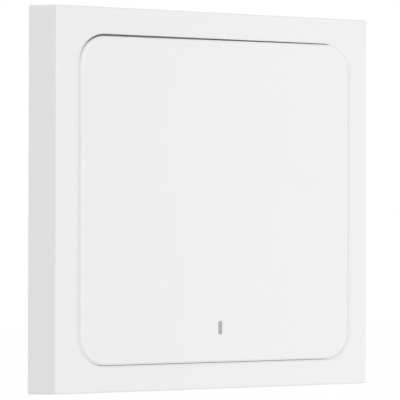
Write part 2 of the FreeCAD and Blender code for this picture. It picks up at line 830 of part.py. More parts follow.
def make_key_buffer_pads():
    """Two soft buffers set in the chassis, on which the key's ribs land at the end of its travel."""
    seat = chassis_front - size("buffer_sink")
    piece = Piece("key_buffer_pads", seat)
    lever = hinge_up + buffer_down + size("buffer_height") / 2
    landing = key_rim_back - lever * sine(size("key_travel_angle")) - size("buffer_landing_gap")
    blocks = piece.sketch("blocks")
    for side in (-0.5, 0.5):
        place = [size("key_rib_spacing") * side, -buffer_down]
        draw_rectangle(blocks, size("buffer_width"), size("buffer_height"), *place)
    piece.pad("blocks_pad", blocks, landing - seat)
    return piece


def make_base_tray():
    """The back half of the module: a shallow tray with bosses, posts and the well for the coin cell."""
    piece = Piece("base_tray", tray_back)
    height = chassis_back - tray_back
    floor = piece.sketch("floor")
    draw_rounded(floor, tray_width, tray_width, size("tray_round"))
    piece.pad("floor_pad", floor, size("tray_floor"))
    walls = piece.sketch("walls", size("tray_floor"))
    inner = tray_inside * 2
    draw_rounded(walls, tray_width, tray_width, size("tray_round"))
    draw_rounded(walls, inner, inner, size("tray_round") - size("tray_wall"))
    piece.pad("walls_pad", walls, height - size("tray_floor"))

    bosses = piece.sketch("bosses", size("tray_floor"))
    for x in (-0.5, 0.5):
        for y in (-0.5, 0.5):
            place = [boss_spacing * x, boss_spacing * y]
            draw_rectangle(bosses, size("boss_width"), size("boss_width"), *place)
    piece.pad("bosses_pad", bosses, height - size("tray_floor"))
    posts = piece.sketch("posts", size("tray_floor"))
    for x in (-0.5, 0.5):
        for y in (-0.5, 0.5):
            post_x = (board_side - size("post_inset")) * (x * 2)
            draw_rectangle(posts, size("post_width"), size("post_width"), post_x, size("post_spacing") * y)
    piece.pad("posts_pad", posts, size("board_standoff"))

    # A low ring keeps the coin cell in place; it is open below for the contact spring.
    well = piece.sketch("well", size("tray_floor"))
    well_radius = size("cell_radius") + size("well_clearance")
    draw_circle(well, well_radius + size("well_wall"), ZERO, size("cell_up"))
    draw_circle(well, well_radius, ZERO, size("cell_up"))
    piece.pad("well_pad", well, size("well_height"))
    gap = piece.sketch("well_gap", size("tray_floor"))
    gap_height = size("well_gap")
    draw_rectangle(gap, size("well_gap"), gap_height, ZERO, size("cell_up") - well_radius)
    piece.pocket("well_gap_cut", gap, size("well_height"))

    # The heads of the wall screws stand in two domes, recessed from behind, that end at the wall.
    dome_in = size("wall_screw_spacing") / 2 - size("dome_inward")
    dome_out = tray_inside + size("root_overlap")
    recess_in = dome_in + size("dome_wall")
    recess_out = tray_inside - size("dome_wall")
    recess_width = size("dome_width") - size("dome_wall") * 2
    domes = piece.sketch("domes", size("tray_floor"))
    recesses = piece.sketch("dome_recesses")
    for side in (-0.5, 0.5):
        draw_rectangle(domes, dome_out - dome_in, size("dome_width"), (dome_in + dome_out) * side)
        draw_rectangle(recesses, recess_out - recess_in, recess_width, (recess_in + recess_out) * side)
    piece.pad("domes_pad", domes, size("dome_rise"))
    piece.pocket("dome_recesses_cut", recesses, size("dome_recess"))

    pilots = piece.sketch("pilots", size("tray_floor"))
    for x in (-0.5, 0.5):
        for y in (-0.5, 0.5):
            pilot = size("screw_radius") + size("hinge_clearance")
            draw_circle(pilots, pilot, boss_spacing * x, boss_spacing * y)
    piece.pocket("pilots_cut", pilots, height - size("tray_floor"))

    # A ledge on each outer wall is what the wall plate's lugs grip.
    ledge = piece.sketch("ledge", ZERO, "XZ_Plane")
    wall = tray_half
    root = wall - size("root_overlap")
    tip = wall + size("ledge_reach")
    low = size("ledge_up")
    high = low + size("ledge_thickness")
    outline = [(root, low), (wall, low), (tip, low + size("ledge_reach") / 2), (tip, high), (root, high)]
    draw_outline(ledge, outline)
    ledge_pad = piece.pad("ledge_pad", ledge, size("ledge_width"), Midplane=True)
    piece.around("ledges", [ledge_pad])
    return piece


def make_wall_plate():
    """The flat plate that is screwed or taped to the wall, with a sprung lug on each side."""
    piece = Piece("wall_plate", ZERO)
    plate = piece.sketch("plate")
    draw_rounded(plate, plate_half * 2, plate_half * 2, size("plate_round"))
    piece.pad("plate_pad", plate, size("plate_thickness"))
    slots = piece.sketch("wall_slots")
    for side in (-0.5, 0.5):
        x = size("wall_screw_spacing") * side
        draw_slot(slots, size("wall_slot_length"), size("wall_slot_width"), x)
    piece.pocket("wall_slots_cut", slots, size("plate_thickness"))
    tapes = piece.sketch("tape_recesses")
    wide = size("tape_width") + size("tape_clearance") * 2
    for x in (-0.5, 0.5):
        for y in (-0.5, 0.5):
            place = [tape_spacing * x, tape_spacing * y]
            draw_rectangle(tapes, wide, wide, *place)
    piece.pocket("tape_recesses_cut", tapes, size("tape_thickness"))
    # Shallow coring in the middle of the back keeps the plate flat as it cools.
    cores = piece.sketch("cores")
    for column in (-1, 0, 1):
        for line in (-1, 0, 1):
            place = [size("core_pitch") * column, size("core_pitch") * line]
            draw_rectangle(cores, size("core_width"), size("core_width"), *place)
    piece.pocket("cores_cut", cores, size("core_depth"))

    inner = tray_half + size("ledge_reach") + size("lug_gap")
    outer = inner + size("lug_thickness")
    nose_low = tray_back + size("ledge_up") + size("ledge_thickness") + size("lug_grip_clearance")
    nose_top = nose_low + size("lug_nose")
    tip = inner - size("lug_reach")
    lug = piece.sketch("lug", ZERO, "XZ_Plane")
    base = size("plate_thickness") - size("root_overlap")
    outline = [(inner, base), (outer, base), (outer, nose_top)]
    outline += [(inner, nose_top), (tip, nose_low), (inner, nose_low)]
    draw_outline(lug, outline)
    lug_pad = piece.pad("lug_pad", lug, size("lug_width"), Midplane=True)
    piece.around("lugs", [lug_pad])
    return piece


def make_adhesive_pads():
    """Four foam tape squares in the back of the wall plate, flush with the wall."""
    piece = Piece("adhesive_pads", ZERO)
    pads = piece.sketch("pads")
    for x in (-0.5, 0.5):
        for y in (-0.5, 0.5):
            place = [tape_spacing * x, tape_spacing * y]
            draw_rectangle(pads, size("tape_width"), size("tape_width"), *place)
    piece.pad("pads_pad", pads, size("tape_thickness"))
    return piece


def make_circuit_board():
    """The green board, cut out for the coin cell up to its top, and notched for the corner bosses."""
    piece = Piece("circuit_board", board_back)
    outline = piece.sketch("outline")
    side = board_side
    notch = (boss_spacing - size("boss_width")) / 2 - size("board_notch_clearance")
    draw_outline(
        outline,
        [
            (-notch, board_low),
            (notch, board_low),
            (notch, -notch),
            (side, -notch),
            (side, notch),
            (notch, notch),
            (notch, board_top),
            (-notch, board_top),
            (-notch, notch),
            (-side, notch),
            (-side, -notch),
            (-notch, -notch),
        ],
    )
    piece.pad("outline_pad", outline, size("board_thickness"))
    # The cut-out is a slot whose upper end lies past the board's top edge.
    cut = piece.sketch("cell_cut")
    well_outside = size("cell_radius") + size("well_clearance") + size("well_wall")
    cut_width = (well_outside + size("board_hole_clearance")) * 2
    draw_slot(cut, cut_width + board_top, cut_width, ZERO, size("cell_up") + board_top / 2, upright=True)
    piece.pocket("cell_cut_cut", cut, size("board_thickness"))
    return piece


def make_switch(name, place, parts):
    """A push switch in four pieces: moulded base, snap dome, plunger and sheet metal cover."""
    x, y = place
    base = Piece(f"{name}_base", board_front)
    block = base.sketch("block")
    draw_rectangle(block, parts["width"], parts["depth"], x, y)
    base.pad("block_pad", block, parts["base_height"])
    cavity = base.sketch("cavity", parts["floor"])
    draw_circle(cavity, parts["cavity_radius"], x, y)
    base.pocket("cavity_cut", cavity, parts["base_height"] - parts["floor"])

    dome = Piece(f"{name}_dome", board_front + parts["floor"])
    crown = dome.sketch("crown")
    draw_circle(crown, parts["dome_radius"], x, y)
    dome.pad("crown_pad", crown, parts["dome_rise"])
    dome.chamfer("crown_slope", parts["dome_rise"] - parts["dome_sheet"], level_edges(parts["dome_rise"]))
    hollow = dome.sketch("hollow")
    draw_circle(hollow, parts["dome_radius"] - parts["dome_rise"], x, y)
    dome.pocket("hollow_cut", hollow, parts["dome_rise"] - parts["dome_sheet"])

    flange_top = parts["base_height"] - parts["flange_clearance"]
    flange_low = flange_top - parts["flange_height"]
    plunger = Piece(f"{name}_plunger", board_front + flange_low)
    flange = plunger.sketch("flange")
    draw_circle(flange, parts["flange_radius"], x, y)
    plunger.pad("flange_pad", flange, parts["flange_height"])
    stem = plunger.sketch("stem")
    draw_circle(stem, parts["stem_radius"], x, y)
    plunger.pad("stem_pad", stem, parts["height"] - flange_low)

    sheet_metal = parts["cover_sheet"]
    leg = parts["cover_leg"]
    cover = Piece(f"{name}_cover", board_front + parts["base_height"] - leg)
    top = cover.sketch("top", leg)
    draw_rectangle(top, parts["width"] + sheet_metal * 2, parts["depth"], x, y)
    draw_circle(top, parts["stem_radius"] + parts["stem_clearance"], x, y)
    cover.pad("top_pad", top, sheet_metal)
    legs = cover.sketch("legs")
    for side in (-0.5, 0.5):
        middle = x + (parts["width"] + sheet_metal) * side
        draw_rectangle(legs, sheet_metal, parts["cover_leg_width"], middle, y)
    cover.pad("legs_pad", legs, leg)
    return base, dome, plunger, cover


def switch_parts(prefix, names):
    """The sizes of one switch, by their plain names."""
    return {name: size(f"{prefix}_{name}") for name in names}


SWITCH_SIZES = [
    "width",
    "base_height",
    "floor",
    "cavity_radius",
    "height",
    "stem_radius",
    "flange_radius",
    "flange_height",
    "flange_clearance",
    "dome_radius",
    "dome_rise",
    "dome_sheet",
    "cover_sheet",
    "cover_leg",
    "cover_leg_width",
    "stem_clearance",
]


def make_main_switch():
    """The switch behind the middle of the key, with its four soldered leads."""
    parts = switch_parts("tact", SWITCH_SIZES)
    parts["depth"] = size("tact_width")
    pieces = make_switch("main_switch", (ZERO, ZERO), parts)
    leads = Piece("main_switch_leads", board_front)
    strips = leads.sketch("strips")
    for x in (-1, 1):
        for y in (-0.5, 0.5):
            middle = (size("tact_width") + size("tact_lead_reach")) / 2 * x
            level = size("tact_lead_spacing") * y
            draw_rectangle(strips, size("tact_lead_reach"), size("tact_lead_width"), middle, level)
    leads.pad("strips_pad", strips, size("tact_lead_sheet"))
    return pieces + (leads,)


def make_pairing_switch():
    """The small pairing switch, reached through a hole in the chassis once the key is off."""
    parts = switch_parts("pair", SWITCH_SIZES)
    parts["depth"] = size("pair_depth")
    return make_switch("pairing_switch", (board_side - size("pair_from_edge"), -size("pair_down")), parts)


def make_indicator():
    """The light-emitting diode on the board, and the moulded tube that leads its light to the key."""
    led = Piece("indicator_led", board_front)
    chip = led.sketch("chip")
    draw_rectangle(chip, size("led_width"), size("led_length"), ZERO, -lens_down)
    led.pad("chip_pad", chip, size("led_height"))
    guide = Piece("light_guide", board_front)
    tube = guide.sketch("tube")
    wide = size("guide_bore_width") + size("guide_wall") * 2
    tall = size("guide_bore_height") + size("guide_wall") * 2
    draw_slot(tube, tall, wide, ZERO, -lens_down, upright=True)
    bore = [size("guide_bore_height"), size("guide_bore_width")]
    draw_slot(tube, *bore, ZERO, -lens_down, upright=True)
    guide.pad("tube_pad", tube, chassis_front - size("guide_below_front") - board_front)
    return led, guide


def make_coin_cell():
    """A 24.5 mm by 5.0 mm lithium cell: the wide can faces the front, the smaller cap the wall."""
    piece = Piece("coin_cell", cell_back)
    cap = piece.sketch("cap")
    draw_circle(cap, size("cell_cap_radius"), ZERO, size("cell_up"))
    piece.pad("cap_pad", cap, size("cell_cap_height"))
    can = piece.sketch("can", size("cell_cap_height"))
    draw_circle(can, size("cell_radius"), ZERO, size("cell_up"))
    piece.pad("can_pad", can, size("cell_height") - size("cell_cap_height"))
    piece.chamfer("can_front", size("cell_bevel"), level_edges(size("cell_height")))
    return piece


def make_battery_clips():
    """Two bent strips, soldered to the board, that grip the edge of the cell and lead off its current."""
    piece = Piece("battery_positive_clips", board_front)
    sheet_metal = size("clip_sheet")
    inner = size("cell_radius") + size("clip_gap")
    outer = inner + sheet_metal
    lip_low = cell_back + size("cell_height") + size("clip_up_gap") - board_front
    lip_top = lip_low + sheet_metal
    foot = outer + size("clip_foot")
    lip = inner - size("clip_lip")
    profile = piece.sketch("profile", -size("cell_up"), "XZ_Plane")
    outline = [(inner, ZERO), (foot, ZERO), (foot, sheet_metal), (outer, sheet_metal), (outer, lip_top)]
    outline += [(lip, lip_top), (lip, lip_low), (inner, lip_low)]
    draw_outline(profile, outline)
    right = piece.pad("right_clip", profile, size("clip_width"), Midplane=True)
    piece.mirrored("left_clip", [right])
    return piece


def make_battery_spring():
    """The bent strip under the cell, from the back of the board to the middle of the cap."""
    piece = Piece("battery_negative_spring", tray_top)
    sheet_metal = size("spring_sheet")
    solder_top = board_back - tray_top
    edge = size("cell_up") - size("cell_radius") - size("well_clearance") - size("well_wall")
    start = edge - size("board_hole_clearance") - size("spring_foot")
    drop = edge + size("well_wall")
    rest = size("cell_up") - size("spring_arch")
    touch = size("cell_up")
    end = touch + size("spring_end")
    rise = size("cell_above_floor") - sheet_metal
    profile = piece.sketch("profile", ZERO, "YZ_Plane")
    slope = edge - size("spring_lead")
    under = solder_top - sheet_metal
    bend = size("spring_bend")
    outline = [(start, solder_top), (start, under), (slope, under), (drop, ZERO), (rest, ZERO), (touch, rise)]
    outline += [(end, rise), (end, rise + sheet_metal), (touch, rise + sheet_metal), (rest, sheet_metal)]
    outline += [(drop + bend, sheet_metal), (slope + bend, solder_top)]
    draw_outline(profile, outline)
    piece.pad("strip", profile, size("spring_width"), Midplane=True)
    return piece


def make_radio():
    """The radio module: a small board with a shielded chip and crystal and a ceramic antenna."""
    x = -rib_place - (size("chassis_rib") + size("radio_width")) / 2 - size("radio_from_rib")
    y = board_low + size("radio_from_low_edge") + size("radio_height") / 2
    board = Piece("radio_module_board", board_front)
    outline = board.sketch("outline")
    draw_rectangle(outline, size("radio_width"), size("radio_height"), x, y)
    board.pad("outline_pad", outline, size("radio_board"))

    top = board_front + size("radio_board")
    can_y = y - size("can_down")
    can = Piece("radio_shield_can", top)
    shell = can.sketch("shell")
    draw_rounded(shell, size("can_width"), size("can_height"), size("can_sheet") * 3, x, can_y)
    can.pad("shell_pad", shell, size("can_rise"))
    inside = can.sketch("inside")
    inner = [size("can_width") - size("can_sheet") * 2, size("can_height") - size("can_sheet") * 2]
    draw_rounded(inside, *inner, size("can_sheet") * 2, x, can_y)
    can.pocket("inside_cut", inside, size("can_rise") - size("can_sheet"))

    chip = Piece("radio_chip", top)
    die = chip.sketch("die")
    draw_rectangle(die, size("chip_width"), size("chip_width"), x - size("chip_left"), can_y)
    chip.pad("die_pad", die, size("chip_rise"))
    crystal = Piece("radio_crystal", top)
    lid = crystal.sketch("lid")
    crystal_x = x + size("crystal_right")
    draw_rectangle(lid, size("crystal_height"), size("crystal_width"), crystal_x, can_y)
    crystal.pad("lid_pad", lid, size("crystal_rise"))
    antenna = Piece("radio_antenna", top)
    block = antenna.sketch("block")
    draw_rectangle(block, size("antenna_width"), size("antenna_height"), x, y + size("antenna_up"))
    antenna.pad("block_pad", block, size("antenna_rise"))
    return board, can, chip, crystal, antenna


def make_board_parts():
    """The small chips in two columns on the front of the board, and the reservoir capacitor."""
    capacitors = Piece("ceramic_capacitors", board_front)
    spots = capacitors.sketch("spots")
    for line in range(3):
        y = -size("parts_down") - size("parts_pitch") * line
        for side in (-1, 1):
            x = size("parts_left") * side
            draw_rectangle(spots, size("capacitor_length"), size("capacitor_width"), x, y)
    capacitors.pad("spots_pad", spots, size("capacitor_rise"))
    resistors = Piece("chip_resistors", board_front)
    spots = resistors.sketch("spots")
    for line in range(3, 6):
        y = -size("parts_down") - size("parts_pitch") * line
        for side in (-1, 1):
            x = size("parts_left") * side
            draw_rectangle(spots, size("resistor_length"), size("resistor_width"), x, y)
    resistors.pad("spots_pad", spots, size("resistor_rise"))
    reservoir = Piece("reservoir_capacitor", board_front)
    block = reservoir.sketch("block")
    x = board_side - size("reservoir_from_edge")
    draw_rectangle(block, size("reservoir_length"), size("reservoir_width"), x, size("reservoir_up"))
    reservoir.pad("block_pad", block, size("reservoir_rise"))
    return capacitors, resistors, reservoir


def make_all():
    """Every sub-part, from the front of the switch to the wall."""
    pieces = [make_cover_frame(), make_key_plate(), make_indicator_lens(), make_push_pad()]
    pieces += [make_chassis(), make_chassis_screws(), make_key_buffer_pads()]
    pieces += [make_base_tray(), make_wall_plate(), make_adhesive_pads(), make_circuit_board()]
    pieces += [*make_main_switch(), *make_pairing_switch(), *make_indicator()]
    pieces += [make_coin_cell(), make_battery_clips(), make_battery_spring()]
    pieces += [*make_radio(), *make_board_parts()]
    return [piece.body for piece in pieces]


def check(bodies):
    """Stops if any object failed, or any sub-part is empty or broken."""
    for item in doc.Objects:
        if "Invalid" in item.State or "Error" in item.State:
            raise RuntimeError(f"{item.Name} failed: {item.State}")
    for body in bodies:
        if body.Shape.isNull() or not body.Shape.isValid() or body.Shape.Volume <= 0:
            raise RuntimeError(f"{body.Label} has no valid solid")


bodies = make_all()
doc.recompute()
check(bodies)
os.makedirs("parts", exist_ok=True)
for body in bodies:
    body.Shape.exportStep(os.path.join("parts", f"{body.Label}.step"))
    box = body.Shape.BoundBox
    corners = [box.XMin, box.XMax, box.YMin, box.YMax, box.ZMin, box.ZMax]
    print(body.Label, len(body.Shape.Solids), f"{body.Shape.Volume:.2f}", [round(c, 2) for c in corners])
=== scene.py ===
import math

import bmesh
import bpy
import numpy as np
from mathutils import Euler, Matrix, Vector


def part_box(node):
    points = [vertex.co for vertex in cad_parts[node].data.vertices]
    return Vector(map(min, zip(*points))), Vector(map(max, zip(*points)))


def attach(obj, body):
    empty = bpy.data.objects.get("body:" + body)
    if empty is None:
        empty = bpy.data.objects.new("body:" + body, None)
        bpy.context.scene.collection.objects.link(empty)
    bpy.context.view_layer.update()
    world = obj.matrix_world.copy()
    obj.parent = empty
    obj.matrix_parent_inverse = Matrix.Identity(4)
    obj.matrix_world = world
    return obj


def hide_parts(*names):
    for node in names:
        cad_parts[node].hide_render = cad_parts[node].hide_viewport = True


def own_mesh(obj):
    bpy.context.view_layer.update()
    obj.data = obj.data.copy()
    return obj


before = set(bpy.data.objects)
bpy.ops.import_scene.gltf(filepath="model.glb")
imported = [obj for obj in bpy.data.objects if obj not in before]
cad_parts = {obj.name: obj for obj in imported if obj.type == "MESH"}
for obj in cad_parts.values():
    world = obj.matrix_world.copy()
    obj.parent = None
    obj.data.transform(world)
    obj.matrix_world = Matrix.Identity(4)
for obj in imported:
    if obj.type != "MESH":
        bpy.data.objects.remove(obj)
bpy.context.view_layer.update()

mm = 0.001

# Wall plate: the flat plate that is screwed or taped to the wall, moulded in plain ABS.
# Its back is cored, and its sharp edges are eased as those of a moulding are.
PLATE_WHITE = (0.70, 0.70, 0.685)
PLATE_DRIFT = (0.72, 0.72, 0.70)
GRAIN_STRENGTH = 0.6
MERGE_WITHIN = 1e-7
NEARLY_FLAT = math.radians(0.2)
EASED_BEYOND = math.radians(40)


def finish(name, colour, second, patch, roughness, spread, grain, relief, metallic=0.0):
    """A surface whose colour drifts between two tones over `patch`, and whose roughness drifts by
    `spread` with it; fine noise of the size `grain` lifts it by up to `relief`. Sizes are in metres.
    Edges, where the piece has an edge attribute, are a little more polished than the rest."""
    material = bpy.data.materials.new(name)
    material.use_nodes = True
    nodes, links = material.node_tree.nodes, material.node_tree.links
    shader = nodes["Principled BSDF"]
    shader.inputs["Metallic"].default_value = metallic
    place = nodes.new("ShaderNodeTexCoord")
    drift = nodes.new("ShaderNodeTexNoise")
    drift.inputs["Scale"].default_value = 1 / patch
    drift.inputs["Detail"].default_value = 3.0
    links.new(place.outputs["Object"], drift.inputs["Vector"])
    tone = nodes.new("ShaderNodeMix")
    tone.data_type = "RGBA"
    tone.inputs["A"].default_value = (*colour, 1)
    tone.inputs["B"].default_value = (*second, 1)
    links.new(drift.outputs["Fac"], tone.inputs["Factor"])
    links.new(tone.outputs["Result"], shader.inputs["Base Color"])
    edge = nodes.new("ShaderNodeAttribute")
    edge.attribute_name = "edge"
    rough = nodes.new("ShaderNodeMapRange")
    rough.inputs["To Min"].default_value = roughness - spread
    rough.inputs["To Max"].default_value = roughness + spread
    links.new(drift.outputs["Fac"], rough.inputs["Value"])
    polish = nodes.new("ShaderNodeMath")
    polish.operation = "MULTIPLY_ADD"
    polish.inputs[1].default_value = -spread
    links.new(edge.outputs["Fac"], polish.inputs[0])
    links.new(rough.outputs["Result"], polish.inputs[2])
    links.new(polish.outputs["Value"], shader.inputs["Roughness"])
    fine = nodes.new("ShaderNodeTexNoise")
    fine.inputs["Scale"].default_value = 1 / grain
    fine.inputs["Detail"].default_value = 2.0
    links.new(place.outputs["Object"], fine.inputs["Vector"])
    bump = nodes.new("ShaderNodeBump")
    bump.inputs["Strength"].default_value = GRAIN_STRENGTH
    bump.inputs["Distance"].default_value = relief
    links.new(fine.outputs["Fac"], bump.inputs["Height"])
    links.new(bump.outputs["Normal"], shader.inputs["Normal"])
    return material


def keep_flats_flat(piece):
    """Lets large faces settle the shading, so that a narrow rounding beside one doesn't bend it."""
    weighted = piece.modifiers.new("flats_stay_flat", "WEIGHTED_NORMAL")
    weighted.keep_sharp = True


def fit(piece, body, slot, material, *nodes):
    """Gives a piece its material, lets it ride on its body and stand for its CAD nodes. `slot` is not used.
    """
    piece.data.materials.append(material)
    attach(piece, body)
    if nodes:
        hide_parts(*nodes)


def ease(node, slot, material, edge, segments=2):
    """Dresses a CAD piece of the housing: a merged copy of it, in which a bevel of the width `edge` eases
    every edge sharper than EASED_BEYOND, stands for it."""
    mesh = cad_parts[node].data.copy()
    build = bmesh.new()
    build.from_mesh(mesh)
    bmesh.ops.remove_doubles(build, verts=build.verts, dist=MERGE_WITHIN)
    bmesh.ops.dissolve_limit(build, angle_limit=NEARLY_FLAT, verts=build.verts, edges=build.edges)
    build.to_mesh(mesh)
    build.free()
    if "custom_normal" in mesh.attributes:
        mesh.attributes.remove(mesh.attributes["custom_normal"])
    mesh.materials.clear()
    piece = bpy.data.objects.new(node + "_dressed", mesh)
    bpy.context.scene.collection.objects.link(piece)
    bevel = piece.modifiers.new("eased_edges", "BEVEL")
    bevel.width = edge
    bevel.segments = segments
    bevel.limit_method = "ANGLE"
    bevel.angle_limit = EASED_BEYOND
    mesh.shade_smooth()
    keep_flats_flat(piece)
    fit(piece, "housing", slot, material, node)


plate_plastic = finish(
    "plate_plastic", PLATE_WHITE, PLATE_DRIFT,
    patch=9 * mm, roughness=0.42, spread=0.05, grain=0.25 * mm, relief=0.010 * mm,
)
ease("wall_plate", "plate_plastic", plate_plastic, edge=0.10 * mm)

# Adhesive pads: four die-cut squares of closed-cell foam tape, set in the plate's back.
# A thin glossy release paper still covers each one, a hair smaller than its foam.
PAD_HALF = 9.0 * mm
PAD_CORNER = 1.6 * mm
PAD_SAG = 0.12 * mm
PAPER = 0.09 * mm
PAPER_INSET = 0.15 * mm


def rounded_rings(half_x, half_z, corner, y, centre_x=0.0, centre_z=0.0, arc_steps=6, side_steps=2):
    """Rings of points round rounded rectangles, one ring for each entry of the arrays. A point on a
    corner is the corner's centre plus its radius times the cosine and sine of an angle that grows
    anticlockwise as seen from the front; equal steps along the straight sides join the corners."""
    half_x, half_z, corner, y, centre_x, centre_z = np.broadcast_arrays(
        *(np.atleast_1d(np.asarray(v, float)) for v in (half_x, half_z, corner, y, centre_x, centre_z))
    )
    turn = np.radians(np.arange(4)[:, None] * 90 + np.linspace(0, 90, arc_steps + 1))
    side_x = np.array([1, -1, -1, 1])[:, None]
    side_z = np.array([1, 1, -1, -1])[:, None]
    wide = (half_x - corner)[:, None, None]
    tall = (half_z - corner)[:, None, None]
    arc_x = centre_x[:, None, None] + side_x * wide + corner[:, None, None] * np.cos(turn)
    arc_z = centre_z[:, None, None] + side_z * tall + corner[:, None, None] * np.sin(turn)
    arcs = np.stack([arc_x, arc_z], axis=-1)
    steps = np.linspace(0, 1, side_steps + 1)[1:-1, None]
    ends, starts = arcs[:, :, -1:], np.roll(arcs, -1, axis=1)[:, :, :1]
    sides = ends + (starts - ends) * steps
    flat = np.concatenate([arcs, sides], axis=2).reshape(len(y), -1, 2)
    depth = np.broadcast_to(y[:, None, None], flat.shape[:2] + (1,))
    return np.concatenate([flat[..., :1], depth, flat[..., 1:]], axis=-1)


def skin(points, loop=False):
    """Vertices and faces of a closed skin over rows of points, each row a closed ring. In a loop the last
    row meets the first; otherwise a fan of triangles round its middle closes each end."""
    rows, across = points.shape[:2]
    numbers = np.arange(rows * across).reshape(rows, across)
    joined = np.vstack([numbers, numbers[:1]]) if loop else numbers
    here, there = joined[:-1], joined[1:]
    quads = np.stack([here, np.roll(here, -1, 1), np.roll(there, -1, 1), there], axis=-1)
    vertices, faces = points.reshape(-1, 3), quads.reshape(-1, 4).tolist()
    if not loop:
        first, last = numbers[0], numbers[-1]
        middle = rows * across
        vertices = np.vstack([vertices, points[0].mean(axis=0), points[-1].mean(axis=0)])
        back = np.stack([np.full(across, middle), np.roll(first, -1), first], axis=-1)
        front = np.stack([np.full(across, middle + 1), last, np.roll(last, -1)], axis=-1)
        faces += back.tolist() + front.tolist()
    return vertices, faces


def assemble(name, skins, edge=None, sharp=30):
    """One object of several skins, smooth except where faces meet at more than `sharp` degrees. `edge`
    gives each vertex how much it is worn, from 0 to 1."""
    offsets = np.cumsum([0] + [len(vertices) for vertices, faces in skins])
    joined = []
    for start, (vertices, faces) in zip(offsets, skins):
        joined += [[number + start for number in face] for face in faces]
    mesh = bpy.data.meshes.new(name)
    mesh.from_pydata(np.vstack([vertices for vertices, faces in skins]).tolist(), [], joined)
    mesh.shade_smooth()
    mesh.set_sharp_from_angle(angle=math.radians(sharp))
    if edge is not None:
        worn = mesh.attributes.new("edge", "FLOAT", "POINT")
        worn.data.foreach_set("value", np.resize(edge, len(mesh.vertices)).astype(np.float32))
    piece = bpy.data.objects.new(name, mesh)
    bpy.context.scene.collection.objects.link(piece)
    keep_flats_flat(piece)
    return piece


def four_corners(place):
    """The four spots at plus and minus `place` on X and Z."""
    return [(x, z) for x in (-place, place) for z in (-place, place)]


tape_low, tape_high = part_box("adhesive_pads")
thick = np.linspace(0, 1, 9)
foam_y = tape_high.y - PAPER + (tape_low.y - tape_high.y + PAPER) * thick
foam_half = PAD_HALF - PAD_SAG * np.sin(np.pi * thick)
paper_y = tape_high.y - PAPER * np.array([0.0, 0.2, 1.0])
paper_half = PAD_HALF - PAPER_INSET - np.array([0.03, 0.0, 0.0]) * mm
foam_skins, paper_skins = [], []
for spot in four_corners(tape_high.x - PAD_HALF):
    foam_skins.append(skin(rounded_rings(foam_half, foam_half, PAD_CORNER, foam_y, *spot)))
    paper_skins.append(skin(rounded_rings(paper_half, paper_half, PAD_CORNER, paper_y, *spot)))
foam = finish(
    "foam_tape", (0.62, 0.62, 0.60), (0.70, 0.70, 0.67),
    patch=0.5 * mm, roughness=0.85, spread=0.08, grain=0.12 * mm, relief=0.05 * mm,
)
paper = finish(
    "release_paper", (0.78, 0.76, 0.66), (0.82, 0.80, 0.71),
    patch=7 * mm, roughness=0.28, spread=0.06, grain=0.4 * mm, relief=0.006 * mm,
)
fit(assemble("foam_pads", foam_skins), "housing", "foam_tape", foam, "adhesive_pads")
fit(assemble("release_papers", paper_skins), "housing", "foam_tape", paper)

# Base tray: the back half of the module, with bosses, posts and the coin cell's well, in satin ABS.
# Its ledges are what the wall plate's lugs grip.
module_plastic = finish(
    "module_plastic", (0.66, 0.66, 0.645), (0.69, 0.69, 0.67),
    patch=8 * mm, roughness=0.40, spread=0.06, grain=0.22 * mm, relief=0.010 * mm,
)
ease("base_tray", "module_plastic", module_plastic, edge=0.10 * mm)

# Battery contacts: strips of nickel-plated spring steel, stamped and bent.
# Two clips grip the cell's edge, and a long arched one presses on its cap from behind.
spring_steel = finish(
    "spring_steel", (0.52, 0.51, 0.49), (0.62, 0.61, 0.59),
    patch=1.2 * mm, roughness=0.28, spread=0.08, grain=0.06 * mm, relief=0.003 * mm, metallic=1.0,
)
ease("battery_negative_spring", "spring_steel", spring_steel, edge=0.04 * mm)
ease("battery_positive_clips", "spring_steel", spring_steel, edge=0.05 * mm)

# Circuit board: glass-fibre laminate under a green solder mask, with copper tracks and plated holes
# showing through. Its cut edges are bare laminate, paler than the mask.
MASK_GREEN = (0.006, 0.075, 0.030)
TRACK_GREEN = (0.016, 0.150, 0.060)
LAMINATE = (0.42, 0.38, 0.20)
TRACK_SHARE = 0.4
LEVEL_BEYOND = 0.5
BARE_SHARE = 0.33


